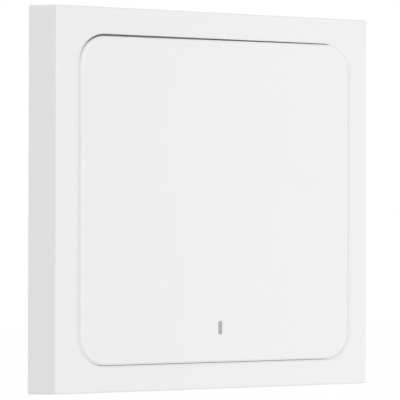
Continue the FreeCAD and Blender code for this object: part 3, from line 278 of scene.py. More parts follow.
def masked_board(name, mask, track, pitch, patch):
    """Solder mask over copper. In each cell of a Chebychev Voronoi pattern of the size `patch` the tracks
    run either along X or along Z, where the place over `pitch` has a remainder under TRACK_SHARE; a
    third of the cells is bare. Faces that don't look along Y are cut edges and show the laminate."""
    material = finish(
        name, mask, mask, patch=2 * mm, roughness=0.36, spread=0.06, grain=0.08 * mm, relief=0.004 * mm
    )
    nodes, links = material.node_tree.nodes, material.node_tree.links
    shader = nodes["Principled BSDF"]
    tone = shader.inputs["Base Color"].links[0].from_node
    place = next(node for node in nodes if node.type == "TEX_COORD")

    def reckon(operation, first, second=0.0):
        """A sum in the material, of two values that are each a number or another node's output."""
        step = nodes.new("ShaderNodeMath")
        step.operation = operation
        for socket, value in zip(step.inputs, (first, second)):
            if isinstance(value, float):
                socket.default_value = value
            else:
                links.new(value, socket)
        return step.outputs["Value"]

    cells = nodes.new("ShaderNodeTexVoronoi")
    cells.distance = "CHEBYCHEV"
    cells.inputs["Scale"].default_value = 1 / patch
    links.new(place.outputs["Object"], cells.inputs["Vector"])
    chance = nodes.new("ShaderNodeSeparateColor")
    links.new(cells.outputs["Color"], chance.inputs["Color"])
    where = nodes.new("ShaderNodeSeparateXYZ")
    links.new(place.outputs["Object"], where.inputs["Vector"])
    lines = []
    for axis in ("X", "Z"):
        turns = reckon("FRACT", reckon("MULTIPLY", where.outputs[axis], 1 / pitch))
        lines.append(reckon("LESS_THAN", turns, TRACK_SHARE))
    level = reckon("GREATER_THAN", chance.outputs["Red"], LEVEL_BEYOND)
    upright = reckon("SUBTRACT", 1.0, level)
    either = reckon("ADD", reckon("MULTIPLY", lines[0], upright), reckon("MULTIPLY", lines[1], level))
    routed = reckon("MULTIPLY", either, reckon("GREATER_THAN", chance.outputs["Green"], BARE_SHARE))
    tone.inputs["B"].default_value = (*track, 1)
    links.new(routed, tone.inputs["Factor"])
    facing = nodes.new("ShaderNodeSeparateXYZ")
    links.new(place.outputs["Normal"], facing.inputs["Vector"])
    cut = nodes.new("ShaderNodeMix")
    cut.data_type = "RGBA"
    cut.inputs["A"].default_value = (*LAMINATE, 1)
    links.new(reckon("ABSOLUTE", facing.outputs["Y"]), cut.inputs["Factor"])
    links.new(tone.outputs["Result"], cut.inputs["B"])
    links.new(cut.outputs["Result"], shader.inputs["Base Color"])
    return material


def dress(node, material):
    """Puts a material on a CAD piece whose shape is right."""
    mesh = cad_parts[node].data
    mesh.materials.clear()
    mesh.materials.append(material)


board_mask = masked_board("board_mask", MASK_GREEN, TRACK_GREEN, pitch=0.9 * mm, patch=7.0 * mm)
dress("circuit_board", board_mask)

# Main switch: a tact switch behind the middle of the key, in a black moulded base.
# A steel cover is crimped over it, a snap dome returns its plunger and four leads are soldered down.
ROUND_STEPS = 64
BEND_STEPS = 6
CROWN_RINGS = 14


def turned(profile, centre, steps=ROUND_STEPS):
    """Rings of a turned shape on an axis along Y. Each profile entry is a radius and a place on Y; the
    ring's points are the centre plus the radius times the cosine and sine of equal steps."""
    profile = np.asarray(profile, float)
    turn = np.linspace(0, 2 * np.pi, steps, endpoint=False)
    radius, y = profile[:, :1], profile[:, 1:]
    x = centre[0] + radius * np.cos(turn)
    z = centre[1] + radius * np.sin(turn)
    return np.stack([x, np.broadcast_to(y, x.shape), z], axis=-1)


def rounded_disc(radius, back, front, edge):
    """Profile of a disc from its back to its front, whose two rims are quarter circles of radius `edge`."""
    bend = np.radians(np.linspace(0, 90, BEND_STEPS))
    rim = radius - edge
    lower = np.stack([rim + edge * np.sin(bend), back - edge * (1 - np.cos(bend))], axis=-1)
    upper = np.stack([rim + edge * np.cos(bend), front + edge * (1 - np.sin(bend))], axis=-1)
    return np.vstack([[[rim * 0.5, back]], lower, upper, [[rim * 0.5, front]]])


def middle_of(node):
    """The middle of a CAD piece's box as seen from the front: its places on X and Z."""
    low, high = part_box(node)
    return (low.x + high.x) / 2, (low.z + high.z) / 2


def snap_dome(node, name, sheet):
    """A snap dome: rings whose height over the base is the cosine of their share of the radius, which
    gives the crown, with the same curve a sheet's thickness lower as its underside."""
    low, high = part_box(node)
    radius, rise = (high.x - low.x) / 2, high.y - low.y
    share = np.linspace(1, 0.05, CROWN_RINGS)
    crown = high.y - sheet - (rise - sheet) * np.cos(share * np.pi / 2)
    over = np.stack([radius * share, crown], axis=-1)
    under = np.stack([radius * share, crown + sheet], axis=-1)[::-1]
    return assemble(name, [skin(turned(np.vstack([under, over]), middle_of(node)))])


def plunger(node, name, stem_share, flange_depth, edge):
    """A plunger from its flange to its rounded tip, turned about its own axis. Its stem's radius is
    `stem_share` of its flange's."""
    low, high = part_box(node)
    flange_radius = (high.x - low.x) / 2
    stem_radius = flange_radius * stem_share
    flange_front = high.y - flange_depth
    flange = rounded_disc(flange_radius, high.y, flange_front, edge)[:-1]
    tip = rounded_disc(stem_radius, flange_front, low.y, edge)[-BEND_STEPS - 1:]
    profile = np.vstack([flange, [[stem_radius, flange_front]], tip])
    return assemble(name, [skin(turned(profile, middle_of(node)))])


switch_black = finish(
    "switch_black", (0.012, 0.012, 0.013), (0.020, 0.020, 0.021),
    patch=1.5 * mm, roughness=0.45, spread=0.08, grain=0.10 * mm, relief=0.008 * mm,
)
switch_stem = finish(
    "switch_stem", (0.030, 0.030, 0.032), (0.040, 0.040, 0.042),
    patch=1 * mm, roughness=0.38, spread=0.08, grain=0.08 * mm, relief=0.006 * mm,
)
tinned = finish(
    "tinned_copper", (0.58, 0.58, 0.57), (0.68, 0.68, 0.67),
    patch=0.4 * mm, roughness=0.32, spread=0.10, grain=0.07 * mm, relief=0.006 * mm, metallic=1.0,
)
ease("main_switch_base", "switch_black", switch_black, edge=0.08 * mm)
ease("main_switch_cover", "spring_steel", spring_steel, edge=0.05 * mm)
main_dome = snap_dome("main_switch_dome", "main_dome", sheet=0.1 * mm)
fit(main_dome, "housing", "spring_steel", spring_steel, "main_switch_dome")
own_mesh(main_dome)
main_plunger = plunger(
    "main_switch_plunger", "main_plunger", stem_share=0.81, flange_depth=0.7 * mm, edge=0.15 * mm
)
fit(main_plunger, "switch_button", "switch_stem", switch_stem, "main_switch_plunger")
dress("main_switch_leads", tinned)

# Pairing switch: a smaller one of the same kind, in a black base with a steel cover and a snap dome.
# It is soldered to the board's front, and reached through a hole once the key is off.
ease("pairing_switch_base", "switch_black", switch_black, edge=0.06 * mm)
ease("pairing_switch_cover", "spring_steel", spring_steel, edge=0.04 * mm)
pairing_dome = snap_dome("pairing_switch_dome", "pairing_dome", sheet=0.08 * mm)
fit(pairing_dome, "housing", "spring_steel", spring_steel, "pairing_switch_dome")
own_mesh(pairing_dome)
pairing_plunger = plunger(
    "pairing_switch_plunger", "pairing_plunger", stem_share=0.714, flange_depth=0.42 * mm, edge=0.1 * mm
)
fit(pairing_plunger, "pairing_button", "switch_stem", switch_stem, "pairing_switch_plunger")

# Indicator: a light-emitting diode cast in clear yellowish epoxy and soldered to the board.
# A white moulded tube in front of it leads its light to the lens in the key.
led_epoxy = finish(
    "led_epoxy", (0.74, 0.70, 0.42), (0.82, 0.79, 0.55),
    patch=0.5 * mm, roughness=0.18, spread=0.05, grain=0.1 * mm, relief=0.002 * mm,
)
ceramic_white = finish(
    "ceramic_white", (0.72, 0.72, 0.68), (0.78, 0.78, 0.75),
    patch=1 * mm, roughness=0.30, spread=0.06, grain=0.08 * mm, relief=0.004 * mm,
)
ease("indicator_led", "led_epoxy", led_epoxy, edge=0.08 * mm, segments=3)
ease("light_guide", "ceramic_white", ceramic_white, edge=0.10 * mm, segments=3)

# Coin cell: a deep-drawn steel can, crimped over a seal round the smaller cap behind.
# Its wide front face is spun, with a plus sign stamped into it.
CELL_STEPS = 160
CELL_SEAL = 0.35 * mm
CAP_INSET = 1.65 * mm
CAP_RISE = 0.4 * mm
CAP_RIM = 0.3 * mm
CELL_ROLL = 0.55 * mm
CELL_SHOULDER = 0.5 * mm
FACE_RINGS = 40
FACE_SHARE = 0.55
PLUS_ARM = 3.2 * mm
PLUS_WIDTH = 0.45 * mm
PLUS_DEPTH = 0.05 * mm
cell_low, cell_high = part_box("coin_cell")
cell_centre = middle_of("coin_cell")
cell_radius = (cell_high.x - cell_low.x) / 2
cap_radius = cell_radius - CAP_INSET
can_back = cell_high.y - CAP_RISE
seal_y = can_back - CELL_SEAL
bend = np.radians(np.linspace(0, 90, 7))
rising, falling = 1 - np.cos(bend), 1 - np.sin(bend)
cell_profile = np.vstack([
    [[cap_radius * 0.5, cell_high.y]],
    np.stack([cap_radius - CAP_RIM + CAP_RIM * np.sin(bend), cell_high.y - CAP_RIM * rising], -1),
    [[cap_radius, seal_y], [cap_radius + CELL_SEAL, seal_y]],
    np.stack([cell_radius - CELL_ROLL * falling, can_back - CELL_ROLL * rising], -1),
    np.stack([cell_radius - CELL_SHOULDER * rising, cell_low.y + CELL_SHOULDER * falling], -1),
    [[cell_radius * share, cell_low.y] for share in (0.8, 0.6)],
])
face_radius = np.linspace(1, 0.02, FACE_RINGS) * cell_radius * FACE_SHARE
cell_face = turned(np.stack([face_radius, np.full(FACE_RINGS, cell_low.y)], -1), cell_centre, CELL_STEPS)
arm_x = np.abs(cell_face[..., 0] - cell_centre[0])
arm_z = np.abs(cell_face[..., 2] - cell_centre[1])
in_plus = (np.minimum(arm_x, arm_z) < PLUS_WIDTH) & (np.maximum(arm_x, arm_z) < PLUS_ARM)
cell_face[..., 1] += PLUS_DEPTH * in_plus
cell_rings = np.vstack([turned(cell_profile, cell_centre, CELL_STEPS), cell_face])
cell_steel = finish(
    "cell_steel", (0.50, 0.50, 0.49), (0.58, 0.58, 0.57),
    patch=6 * mm, roughness=0.30, spread=0.07, grain=0.05 * mm, relief=0.002 * mm, metallic=1.0,
)
coin_cell = assemble("coin_cell_dressed", [skin(cell_rings)], sharp=35)
fit(coin_cell, "housing", "cell_steel", cell_steel, "coin_cell")

# Radio module: a small board with a shielded chip and crystal under a tinned can, and a ceramic
# antenna. It lies on the main board, soldered to the pads along its two sides.
MODULE_BLUE = (0.008, 0.022, 0.085)
MODULE_TRACK = (0.016, 0.045, 0.150)
shield_tin = finish(
    "shield_tin", (0.52, 0.53, 0.54), (0.60, 0.61, 0.62),
    patch=2 * mm, roughness=0.30, spread=0.07, grain=0.10 * mm, relief=0.004 * mm, metallic=1.0,
)
chip_black = finish(
    "chip_black", (0.014, 0.014, 0.015), (0.022, 0.022, 0.023),
    patch=1 * mm, roughness=0.55, spread=0.06, grain=0.06 * mm, relief=0.006 * mm,
)
module_mask = masked_board("module_mask", MODULE_BLUE, MODULE_TRACK, pitch=0.5 * mm, patch=3.0 * mm)
dress("radio_module_board", module_mask)
ease("radio_shield_can", "shield_tin", shield_tin, edge=0.06 * mm)
ease("radio_chip", "chip_black", chip_black, edge=0.06 * mm)
ease("radio_crystal", "shield_tin", shield_tin, edge=0.08 * mm)
ease("radio_antenna", "ceramic_white", ceramic_white, edge=0.06 * mm)

# Small parts on the board: ceramic capacitors, thick-film resistors and one tantalum reservoir.
# Each small block has plated ends, a hair proud of its body.
CHIP_ROWS = 3
CHIP_COLUMNS = 2
CHIP_LENGTH = 1.6 * mm
CHIP_WIDTH = 0.8 * mm
CHIP_CORNER = 0.05 * mm
END_CORNER = 0.06 * mm
END_SHARE = 0.24
END_PROUD = 0.02 * mm
SOLDER_REACH = 0.2 * mm


def chip_group(node, name, slot, body_material):
    """Blocks on a grid that fills the node's box: rounded rings for each body, and the same shape, a
    little larger, for each plated end. Gives the places of the ends."""
    low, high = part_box(node)
    shrink = np.array([1.0, 0.0, 0.0, 2.0]) * END_PROUD
    body_y = np.array([high.y, high.y - END_PROUD, low.y + 3 * END_PROUD, low.y + END_PROUD])
    body_half = (CHIP_LENGTH / 2 - END_PROUD - shrink, CHIP_WIDTH / 2 - END_PROUD - shrink)
    end_y = np.array([high.y, high.y - END_PROUD, low.y + 2 * END_PROUD, low.y])
    end_half = (CHIP_LENGTH / 2 * END_SHARE - shrink, CHIP_WIDTH / 2 - shrink)
    bodies, ends, spots = [], [], []
    for x in np.linspace(low.x + CHIP_LENGTH / 2, high.x - CHIP_LENGTH / 2, CHIP_COLUMNS):
        for z in np.linspace(low.z + CHIP_WIDTH / 2, high.z - CHIP_WIDTH / 2, CHIP_ROWS):
            bodies.append(skin(rounded_rings(*body_half, CHIP_CORNER, body_y, x, z)))
            for side in (-1, 1):
                end_x = x + side * (CHIP_LENGTH / 2) * (1 - END_SHARE)
                ends.append(skin(rounded_rings(*end_half, END_CORNER, end_y, end_x, z)))
                spots.append((end_x + side * SOLDER_REACH, z))
    fit(assemble(name + "_bodies", bodies), "housing", slot, body_material, node)
    fit(assemble(name + "_ends", ends), "housing", "tinned_copper", tinned)
    return spots


ceramic_tan = finish(
    "ceramic_tan", (0.32, 0.20, 0.11), (0.40, 0.26, 0.15),
    patch=0.6 * mm, roughness=0.32, spread=0.06, grain=0.05 * mm, relief=0.004 * mm,
)
tantalum = finish(
    "tantalum_yellow", (0.58, 0.30, 0.03), (0.64, 0.35, 0.04),
    patch=1 * mm, roughness=0.48, spread=0.06, grain=0.07 * mm, relief=0.006 * mm,
)
chip_ends = chip_group("ceramic_capacitors", "capacitor", "ceramic_tan", ceramic_tan)
chip_ends += chip_group("chip_resistors", "resistor", "chip_black", chip_black)
ease("reservoir_capacitor", "tantalum_yellow", tantalum, edge=0.15 * mm, segments=3)

# Solder pads, test pads and vias: tinned copper on the board's front, a few hundredths thick. Lines
# of white epoxy ink, screen-printed, show where each larger part goes, and nothing is lettered. A
# pad's size is its half width, its half height and its corner.
PAD_RISE = 0.04 * mm
SUNK_SHARE = 0.3
CHIP_PAD = (0.42 * mm, 0.50 * mm, 0.08 * mm)
LEAD_PAD = (0.9 * mm, 0.55 * mm, 0.1 * mm)
CLIP_PAD = (2.2 * mm, 2.4 * mm, 0.3 * mm)
PAIRING_PAD = (0.6 * mm, 0.9 * mm, 0.1 * mm)
RESERVOIR_PAD = (0.8 * mm, 1.1 * mm, 0.1 * mm)
RADIO_PAD = (0.7 * mm, 0.45 * mm, 0.1 * mm)
RADIO_PITCH = 1.5 * mm
TEST_PAD = (0.65 * mm, 0.65 * mm, 0.6 * mm)
TEST_ROW = np.linspace(8, 20, 6) * mm
TEST_HEIGHT = -25 * mm
VIA_RADIUS = 0.34 * mm
VIA_BORE = 0.16 * mm
VIA_STEPS = 20
VIA_COLUMN = np.linspace(-24, 24, 9) * mm
VIA_ROW = np.linspace(5, 25, 6) * mm
INK_RISE = 0.02 * mm
INK_WIDTH = 0.18 * mm
INK_CORNER = 0.5 * mm
board_low, board_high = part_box("circuit_board")
board_front = board_low.y


def flat_pad(x, z, half_x, half_z, corner):
    """A thin pad: rounded rings from just inside the board to the pad's front, drawn in a little there."""
    y = board_front + np.array([SUNK_SHARE, -0.7, -1.0]) * PAD_RISE
    shrink = np.array([0.0, 0.0, 0.02]) * mm
    return skin(rounded_rings(half_x - shrink, half_z - shrink, corner, y, x, z, arc_steps=4))


def via(x, z):
    """A plated hole's rim: a ring whose section is a low rectangle, turned about the hole."""
    foot, top = board_front + SUNK_SHARE * PAD_RISE, board_front - PAD_RISE
    section = [(VIA_RADIUS, foot), (VIA_RADIUS, top), (VIA_BORE, top), (VIA_BORE, foot)]
    return skin(turned(section, (x, z), VIA_STEPS), loop=True)


def ink_outline(x, z, half_x, half_z):
    """A printed line round a part: outer and inner rounded rings, joined into a closed loop."""
    inwards = np.array([0, 0, 1, 1]) * INK_WIDTH
    y = board_front + np.array([SUNK_SHARE, -1, -1, SUNK_SHARE]) * INK_RISE
    rings = rounded_rings(half_x - inwards, half_z - inwards, INK_CORNER - inwards, y, x, z)
    return skin(rings, loop=True)


def beside(node, side, out=0.0):
    """The place on X that is `out` beyond the left (-1) or right (1) side of a CAD piece's box."""
    low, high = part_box(node)
    return high.x + out if side > 0 else low.x - out


lead_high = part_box("main_switch_leads")[1]
lead_x, lead_z = lead_high.x - 0.65 * mm, lead_high.z - 0.35 * mm
clip_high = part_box("battery_positive_clips")[1]
clip_x, clip_z = clip_high.x - 1.9 * mm, clip_high.z - 2.0 * mm
pairing_x, pairing_z = middle_of("pairing_switch_base")
reservoir_x, reservoir_z = middle_of("reservoir_capacitor")
radio_x, radio_z = middle_of("radio_module_board")
radio_low, radio_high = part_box("radio_module_board")
radio_rows = np.arange(radio_low.z + 2.0 * mm, radio_high.z - 1.5 * mm, RADIO_PITCH)
board_pads = [flat_pad(x, z, *CHIP_PAD) for x, z in chip_ends]
for side in (-1, 1):
    board_pads += [flat_pad(side * lead_x, z, *LEAD_PAD) for z in (-lead_z, lead_z)]
    board_pads.append(flat_pad(side * clip_x, clip_z, *CLIP_PAD))
    pairing_end = beside("pairing_switch_base", side, 0.3 * mm)
    board_pads.append(flat_pad(pairing_end, pairing_z, *PAIRING_PAD))
    board_pads.append(flat_pad(beside("reservoir_capacitor", side), reservoir_z, *RESERVOIR_PAD))
    radio_end = beside("radio_module_board", side, 0.35 * mm)
    board_pads += [flat_pad(radio_end, z, *RADIO_PAD) for z in radio_rows]
    board_pads += [via(side * (board_high.x - 1.4 * mm), z) for z in VIA_COLUMN]
    board_pads += [via(side * x, board_low.z + 1.6 * mm) for x in VIA_ROW]
board_pads += [flat_pad(x, TEST_HEIGHT, *TEST_PAD) for x in TEST_ROW]
fit(assemble("solder_pads", board_pads), "housing", "tinned_copper", tinned)
ink_lines = [
    ink_outline(0, 0, lead_high.x + 0.9 * mm, 3.7 * mm),
    ink_outline(pairing_x, pairing_z, 3.5 * mm, 2.3 * mm),
    ink_outline(reservoir_x, reservoir_z, 3.1 * mm, 2.0 * mm),
    ink_outline(radio_x, radio_z, 7.6 * mm, 8.7 * mm),
    ink_outline(-10 * mm, -10.5 * mm, 1.9 * mm, 8.0 * mm),
    ink_outline(10 * mm, -10.5 * mm, 1.9 * mm, 8.0 * mm),
]
white_ink = finish(
    "white_ink", (0.74, 0.74, 0.71), (0.80, 0.80, 0.77),
    patch=1 * mm, roughness=0.55, spread=0.08, grain=0.06 * mm, relief=0.004 * mm,
)
fit(assemble("printed_outlines", ink_lines), "housing", "ceramic_white", white_ink)

# Chassis: the front half of the module, moulded in the same satin ABS as the tray and screwed to it.
# It has the key's hinge sockets and hook windows, and the cover frame snaps over its sides.
ease("chassis", "module_plastic", module_plastic, edge=0.10 * mm)

# Chassis screws: zinc-plated pan heads with a cross recess, and thread-forming shanks.
# One near each corner goes through the chassis into a boss of the tray.
SCREW_STEPS = 96
HEAD_RADIUS = 1.9 * mm
HEAD_DEPTH = 1.2 * mm
SHANK_RADIUS = 1.0 * mm
SHANK_RINGS = 61
THREAD_PITCH = 0.8 * mm
THREAD_DEPTH = 0.12 * mm
THREAD_START = 0.8 * mm
THREAD_END = 0.4 * mm
CROSS_ARM = 1.05 * mm
CROSS_WIDTH = 0.32 * mm
CROSS_DEPTH = 0.55 * mm
CROSS_FLANK = 0.08 * mm
CROSS_END = 0.25 * mm


def screw(centre, back, seat, front):
    """Shank rings whose radius grows and shrinks with the height plus a turn's share of the pitch, which
    winds the thread; then the head, whose face sinks by the cross's depth within its two arms."""
    turn = np.linspace(0, 2 * np.pi, SCREW_STEPS, endpoint=False)
    y = np.linspace(back, seat, SHANK_RINGS)[:, None]
    wave = 0.5 + 0.5 * np.cos(2 * np.pi * (y / THREAD_PITCH + turn / (2 * np.pi)))
    fade = np.clip((back - y) / THREAD_START, 0.25, 1) * np.clip((y - seat) / THREAD_END, 0, 1)
    radius = SHANK_RADIUS - THREAD_DEPTH * (1 - wave * fade)
    x, z = centre[0] + radius * np.cos(turn), centre[1] + radius * np.sin(turn)
    shank_rings = np.stack([x, np.broadcast_to(y, x.shape), z], axis=-1)
    rise = seat - front
    bend = np.radians(np.linspace(0, 78, 8))
    crown = np.stack([HEAD_RADIUS * np.cos(bend) ** 0.6, seat - rise * (0.35 + 0.6 * np.sin(bend))], -1)
    under = np.array([[SHANK_RADIUS, seat], [HEAD_RADIUS * 0.97, seat], [HEAD_RADIUS, seat - rise * 0.1]])
    face_radius = np.linspace(crown[-1, 0], 0.03 * mm, 22)
    fall = crown[-1, 1] - front
    face_y = front + fall * (face_radius / crown[-1, 0]) ** 2
    face = turned(np.stack([face_radius, face_y], -1), centre, SCREW_STEPS)
    u, v = np.abs(face[..., 0] - centre[0]), np.abs(face[..., 2] - centre[1])
    narrow, reach = np.minimum(u, v), np.maximum(u, v)
    within_width = np.clip((CROSS_WIDTH - narrow) / CROSS_FLANK, 0, 1)
    within_arm = np.clip((CROSS_ARM - reach) / CROSS_END, 0, 1)
    face[..., 1] += CROSS_DEPTH * (within_width * within_arm)
    head_rings = turned(np.vstack([under, crown[:-1]]), centre, SCREW_STEPS)
    return skin(np.vstack([shank_rings, head_rings, face]))


screw_low, screw_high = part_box("chassis_screws")
screw_seat = screw_low.y + HEAD_DEPTH
screw_spots = four_corners(screw_high.x - HEAD_RADIUS)
screw_skins = [screw(spot, screw_high.y, screw_seat, screw_low.y) for spot in screw_spots]
zinc = finish(
    "zinc_screw", (0.58, 0.59, 0.60), (0.68, 0.69, 0.71),
    patch=0.8 * mm, roughness=0.34, spread=0.08, grain=0.08 * mm, relief=0.004 * mm, metallic=1.0,
)
fit(assemble("screws", screw_skins, sharp=40), "housing", "zinc_screw", zinc, "chassis_screws")

# Key buffers: two soft blocks of cast silicone, pressed into the chassis's front.
# The key's lower rim lands on them, which ends its travel quietly.
SILICONE_DEPTH = 1.0 * mm
soft_silicone = finish(
    "soft_silicone", (0.50, 0.51, 0.52), (0.56, 0.57, 0.58),
    patch=1.5 * mm, roughness=0.55, spread=0.06, grain=0.15 * mm, relief=0.008 * mm,
)
silicone_shader = soft_silicone.node_tree.nodes["Principled BSDF"]
silicone_shader.inputs["Subsurface Weight"].default_value = 0.15
silicone_shader.inputs["Subsurface Radius"].default_value = (SILICONE_DEPTH,) * 3
ease("key_buffer_pads", "soft_silicone", soft_silicone, edge=0.2 * mm, segments=4)

# Cover frame: the white square frame, injection moulded in ABS with a fine spark-eroded texture.
# Its sides are drafted, its front edge is rounded and the opening has round corners for the key.
# Wedges inside its walls snap behind the chassis, and a notch below takes a screwdriver's tip.
FRAME_CORNER = 0.55 * mm
FRAME_EDGE = 0.4 * mm
OPENING_ROUND = 6.5 * mm
OPENING_EDGE = 0.05 * mm
BORDER = 5.93 * mm
DRAFT = 0.5 * mm
WALL = 2.0 * mm
FRONT_THICKNESS = 2.0 * mm
INNER_ROUND = 2.0 * mm
RIM_EDGE = 0.15 * mm
RIM_BEND = RIM_EDGE * 0.3
NOTCH = (6.0 * mm, 1.0 * mm, 1.3 * mm)
NOTCH_BELOW = -40.0 * mm
CATCH_PLACE = 22.0 * mm
CATCH_HALF = 4.0 * mm
CATCH_EDGE = 0.08 * mm
CATCH_PLAY = 0.05 * mm
CATCH_OUT = np.array([0.3, 0.3, -1.4, -1.4]) * mm
CATCH_BACK = np.array([1.5, 0.0, 0.0, 0.4]) * mm
CHASSIS_SHEET = 1.4 * mm
COVER_WHITE = (0.860, 0.860, 0.860)
RING_STEPS = {"arc_steps": 12, "side_steps": 16}
QUARTER = np.radians(np.linspace(0, 90, 9))
ROUNDING = 1 - np.cos(QUARTER)
ARRIVING = 1 - np.sin(QUARTER)


def satin_white(name, colour):
    """White ABS: almost even in tone, with the fine matt grain of a spark-eroded mould."""
    drift = tuple(value * 0.985 for value in colour)
    return finish(
        name, colour, drift, patch=22 * mm, roughness=0.46, spread=0.04, grain=0.16 * mm, relief=0.006 * mm
    )


def notched(rings, rows, half_width, height, depth):
    """Cuts a notch into the lower side of some rows of rings: the points whose X is within its width are
    raised by its depth, and none of them stays nearer to the wall than its height. The columns next to
    its ends are drawn to just in and out of it, which keeps the ends upright."""
    x, lower = rings[-1, :, 0], rings[-1, :, 2] < NOTCH_BELOW
    lower_columns = np.flatnonzero(lower)
    for end in (-half_width, half_width):
        nearest = lower_columns[np.argsort(np.abs(x[lower_columns] - end))][:2]
        inner, outer = sorted(nearest, key=lambda column: abs(x[column]))
        rings[:, inner, 0] = end * 0.999
        rings[:, outer, 0] = end * 1.001
    inside = lower & (np.abs(rings[-1, :, 0]) < half_width)
    roof = rings[0, inside, 2] + depth
    for row in rows:
        rings[row, inside, 1] = np.minimum(rings[row, inside, 1], -height)
        rings[row, inside, 2] = np.maximum(rings[row, inside, 2], roof)
    return rings


def prism(outline, start, stop, edge, turn=0.0):
    """A bar whose section is `outline`, pairs of a place outwards and one on Y, carried along X from
    `start` to `stop` and turned about Y by `turn`. Next to its ends the section draws in by `edge`."""
    outline = np.asarray(outline, float)
    middle = outline.mean(axis=0)
    reach = np.abs(outline - middle).max()
    shrink = 1 - edge / reach * np.array([1, 0, 0, 1])
    along = np.array([start, start + edge, stop - edge, stop])
    section = middle + (outline - middle) * shrink[:, None, None]
    x = np.broadcast_to(along[:, None], section.shape[:2])
    out, y = section[..., 0], section[..., 1]
    c, s = np.cos(turn), np.sin(turn)
    return skin(np.stack([x * c - out * s, y, x * s + out * c], axis=-1))


frame_low, frame_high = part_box("cover_frame")
frame_half, frame_front = frame_high.x, frame_low.y
front_half = frame_half - DRAFT
opening_half = front_half - BORDER
inside_half = frame_half - WALL
plate_back = frame_front + FRONT_THICKNESS
notch_half = frame_half - DRAFT * NOTCH[1] / -frame_front
half = np.concatenate([
    [frame_half - RIM_EDGE, frame_half - RIM_BEND, frame_half, notch_half, notch_half],
    front_half - FRAME_EDGE * ROUNDING,
    opening_half + OPENING_EDGE * ARRIVING,
    [opening_half, inside_half, inside_half, inside_half, inside_half],
])
corner = np.concatenate([
    [FRAME_CORNER - RIM_EDGE, FRAME_CORNER - RIM_BEND, FRAME_CORNER, FRAME_CORNER, FRAME_CORNER],
    FRAME_CORNER - FRAME_EDGE * ROUNDING,
    OPENING_ROUND + OPENING_EDGE * ARRIVING,
    [OPENING_ROUND, INNER_ROUND, INNER_ROUND, INNER_ROUND, INNER_ROUND],
])
depth = np.concatenate([
    [0.0, -RIM_BEND, -RIM_EDGE, -NOTCH[1], -NOTCH[1] * 1.001],
    frame_front + FRAME_EDGE * ARRIVING,
    frame_front + OPENING_EDGE * ROUNDING,
    [plate_back, plate_back, plate_back + RIM_EDGE, -RIM_EDGE, 0.0],
])
rounding_wear = np.sin(QUARTER * 2)
frame_wear = np.concatenate([[0.6, 0.6, 0.2, 0.0, 0.0], rounding_wear, rounding_wear, np.zeros(5)])
frame_rings = rounded_rings(half, half, corner, depth, **RING_STEPS)
ring_points = frame_rings.shape[1]
frame_rings = notched(frame_rings, [0, 1, 2, 3, -2, -1], *NOTCH)
frame_skins = [skin(frame_rings, loop=True)]
catch_top = plate_back + CHASSIS_SHEET + CATCH_PLAY
catch_outline = np.stack([inside_half + CATCH_OUT, catch_top + CATCH_BACK], axis=-1)
for quarter_turn in range(4):
    for middle in (-CATCH_PLACE, CATCH_PLACE):
        ends = (middle - CATCH_HALF, middle + CATCH_HALF)
        frame_skins.append(prism(catch_outline, *ends, CATCH_EDGE, quarter_turn * math.pi / 2))
frame_edge = np.zeros(sum(len(vertices) for vertices, faces in frame_skins))
frame_edge[:frame_rings.size // 3] = np.repeat(frame_wear, ring_points)
cover_frame = assemble("cover_frame_dressed", frame_skins, frame_edge, sharp=35)
fit(cover_frame, "housing", "white_cover", satin_white("cover_white", COVER_WHITE), "cover_frame")

# Key plate: the large key, a thin white moulding softly rounded round its face, with a rim, ribs, a
# boss, hinge ears with pins and two hooks behind, and a slot for the lens. It hangs a hair low and to
# the left in its opening, and its top edge runs a little closer to the frame at the right.
KEY_EDGE = 0.65 * mm
KEY_ROUND = 6.2 * mm
KEY_FACE = 1.5 * mm
KEY_RIM = 1.4 * mm
KEY_RIM_DEPTH = 0.65 * mm
KEY_RIB = 0.9 * mm
KEY_RIB_PLACE = 12.0 * mm
KEY_RIB_LOWER = 0.03 * mm
KEY_BOSS = 3.2 * mm
KEY_ROOT = 0.2 * mm
KEY_DETAIL_EDGE = 0.12 * mm
GAP_LEFT = 0.01 * mm
GAP_RIGHT = 0.09 * mm
GAP_TOP = 0.39 * mm
GAP_BOTTOM = 0.12 * mm
TOP_SKEW = 0.18 * mm
EAR_PLACE = 20.0 * mm
EAR = (1.2 * mm, 1.6 * mm)
EAR_CORNER = 0.2 * mm
PIN_RADIUS = 0.8 * mm
PIN_REACH = 1.8 * mm
PIN_EDGE = 0.15 * mm
PIN_SHIFT = 0.2 * mm
HINGE_FROM_EDGE = 3.3 * mm
HOOK_FROM_EDGE = 4.1 * mm
HOOK_WIDTH = 5.0 * mm
HOOK_ARM = 1.2 * mm
HOOK_REACH = 0.9 * mm
HOOK_NOSE = 0.8 * mm
KEY_WHITE = (0.860, 0.860, 0.860)
SLOT_HALF = (0.53 * mm, 1.56 * mm)
SLOT_SHIFT = (0.19 * mm, -0.09 * mm)
SLOT_EDGE = 0.03 * mm
NEARLY_ROUND = 0.999
key_low, key_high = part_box("key_plate")
cad_half, key_front, hook_back = key_high.x, key_low.y, key_high.y
ear_back = hook_back - CATCH_PLAY
key_x = (GAP_LEFT - GAP_RIGHT) / 2
key_z = (GAP_BOTTOM - GAP_TOP) / 2
key_half_x = opening_half - (GAP_LEFT + GAP_RIGHT) / 2
key_half_z = opening_half - (GAP_BOTTOM + GAP_TOP) / 2
key_inside = key_front + KEY_FACE
key_root = key_inside - KEY_ROOT
rim_back = key_inside + KEY_RIM_DEPTH
lens_low, lens_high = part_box("indicator_lens")
slot_x = SLOT_SHIFT[0]
slot_z = (lens_low.z + lens_high.z) / 2 + SLOT_SHIFT[1]
inset = np.concatenate([
    [KEY_RIM, KEY_RIM, KEY_RIM - KEY_DETAIL_EDGE, KEY_DETAIL_EDGE, 0.0],
    KEY_EDGE * ROUNDING,
])
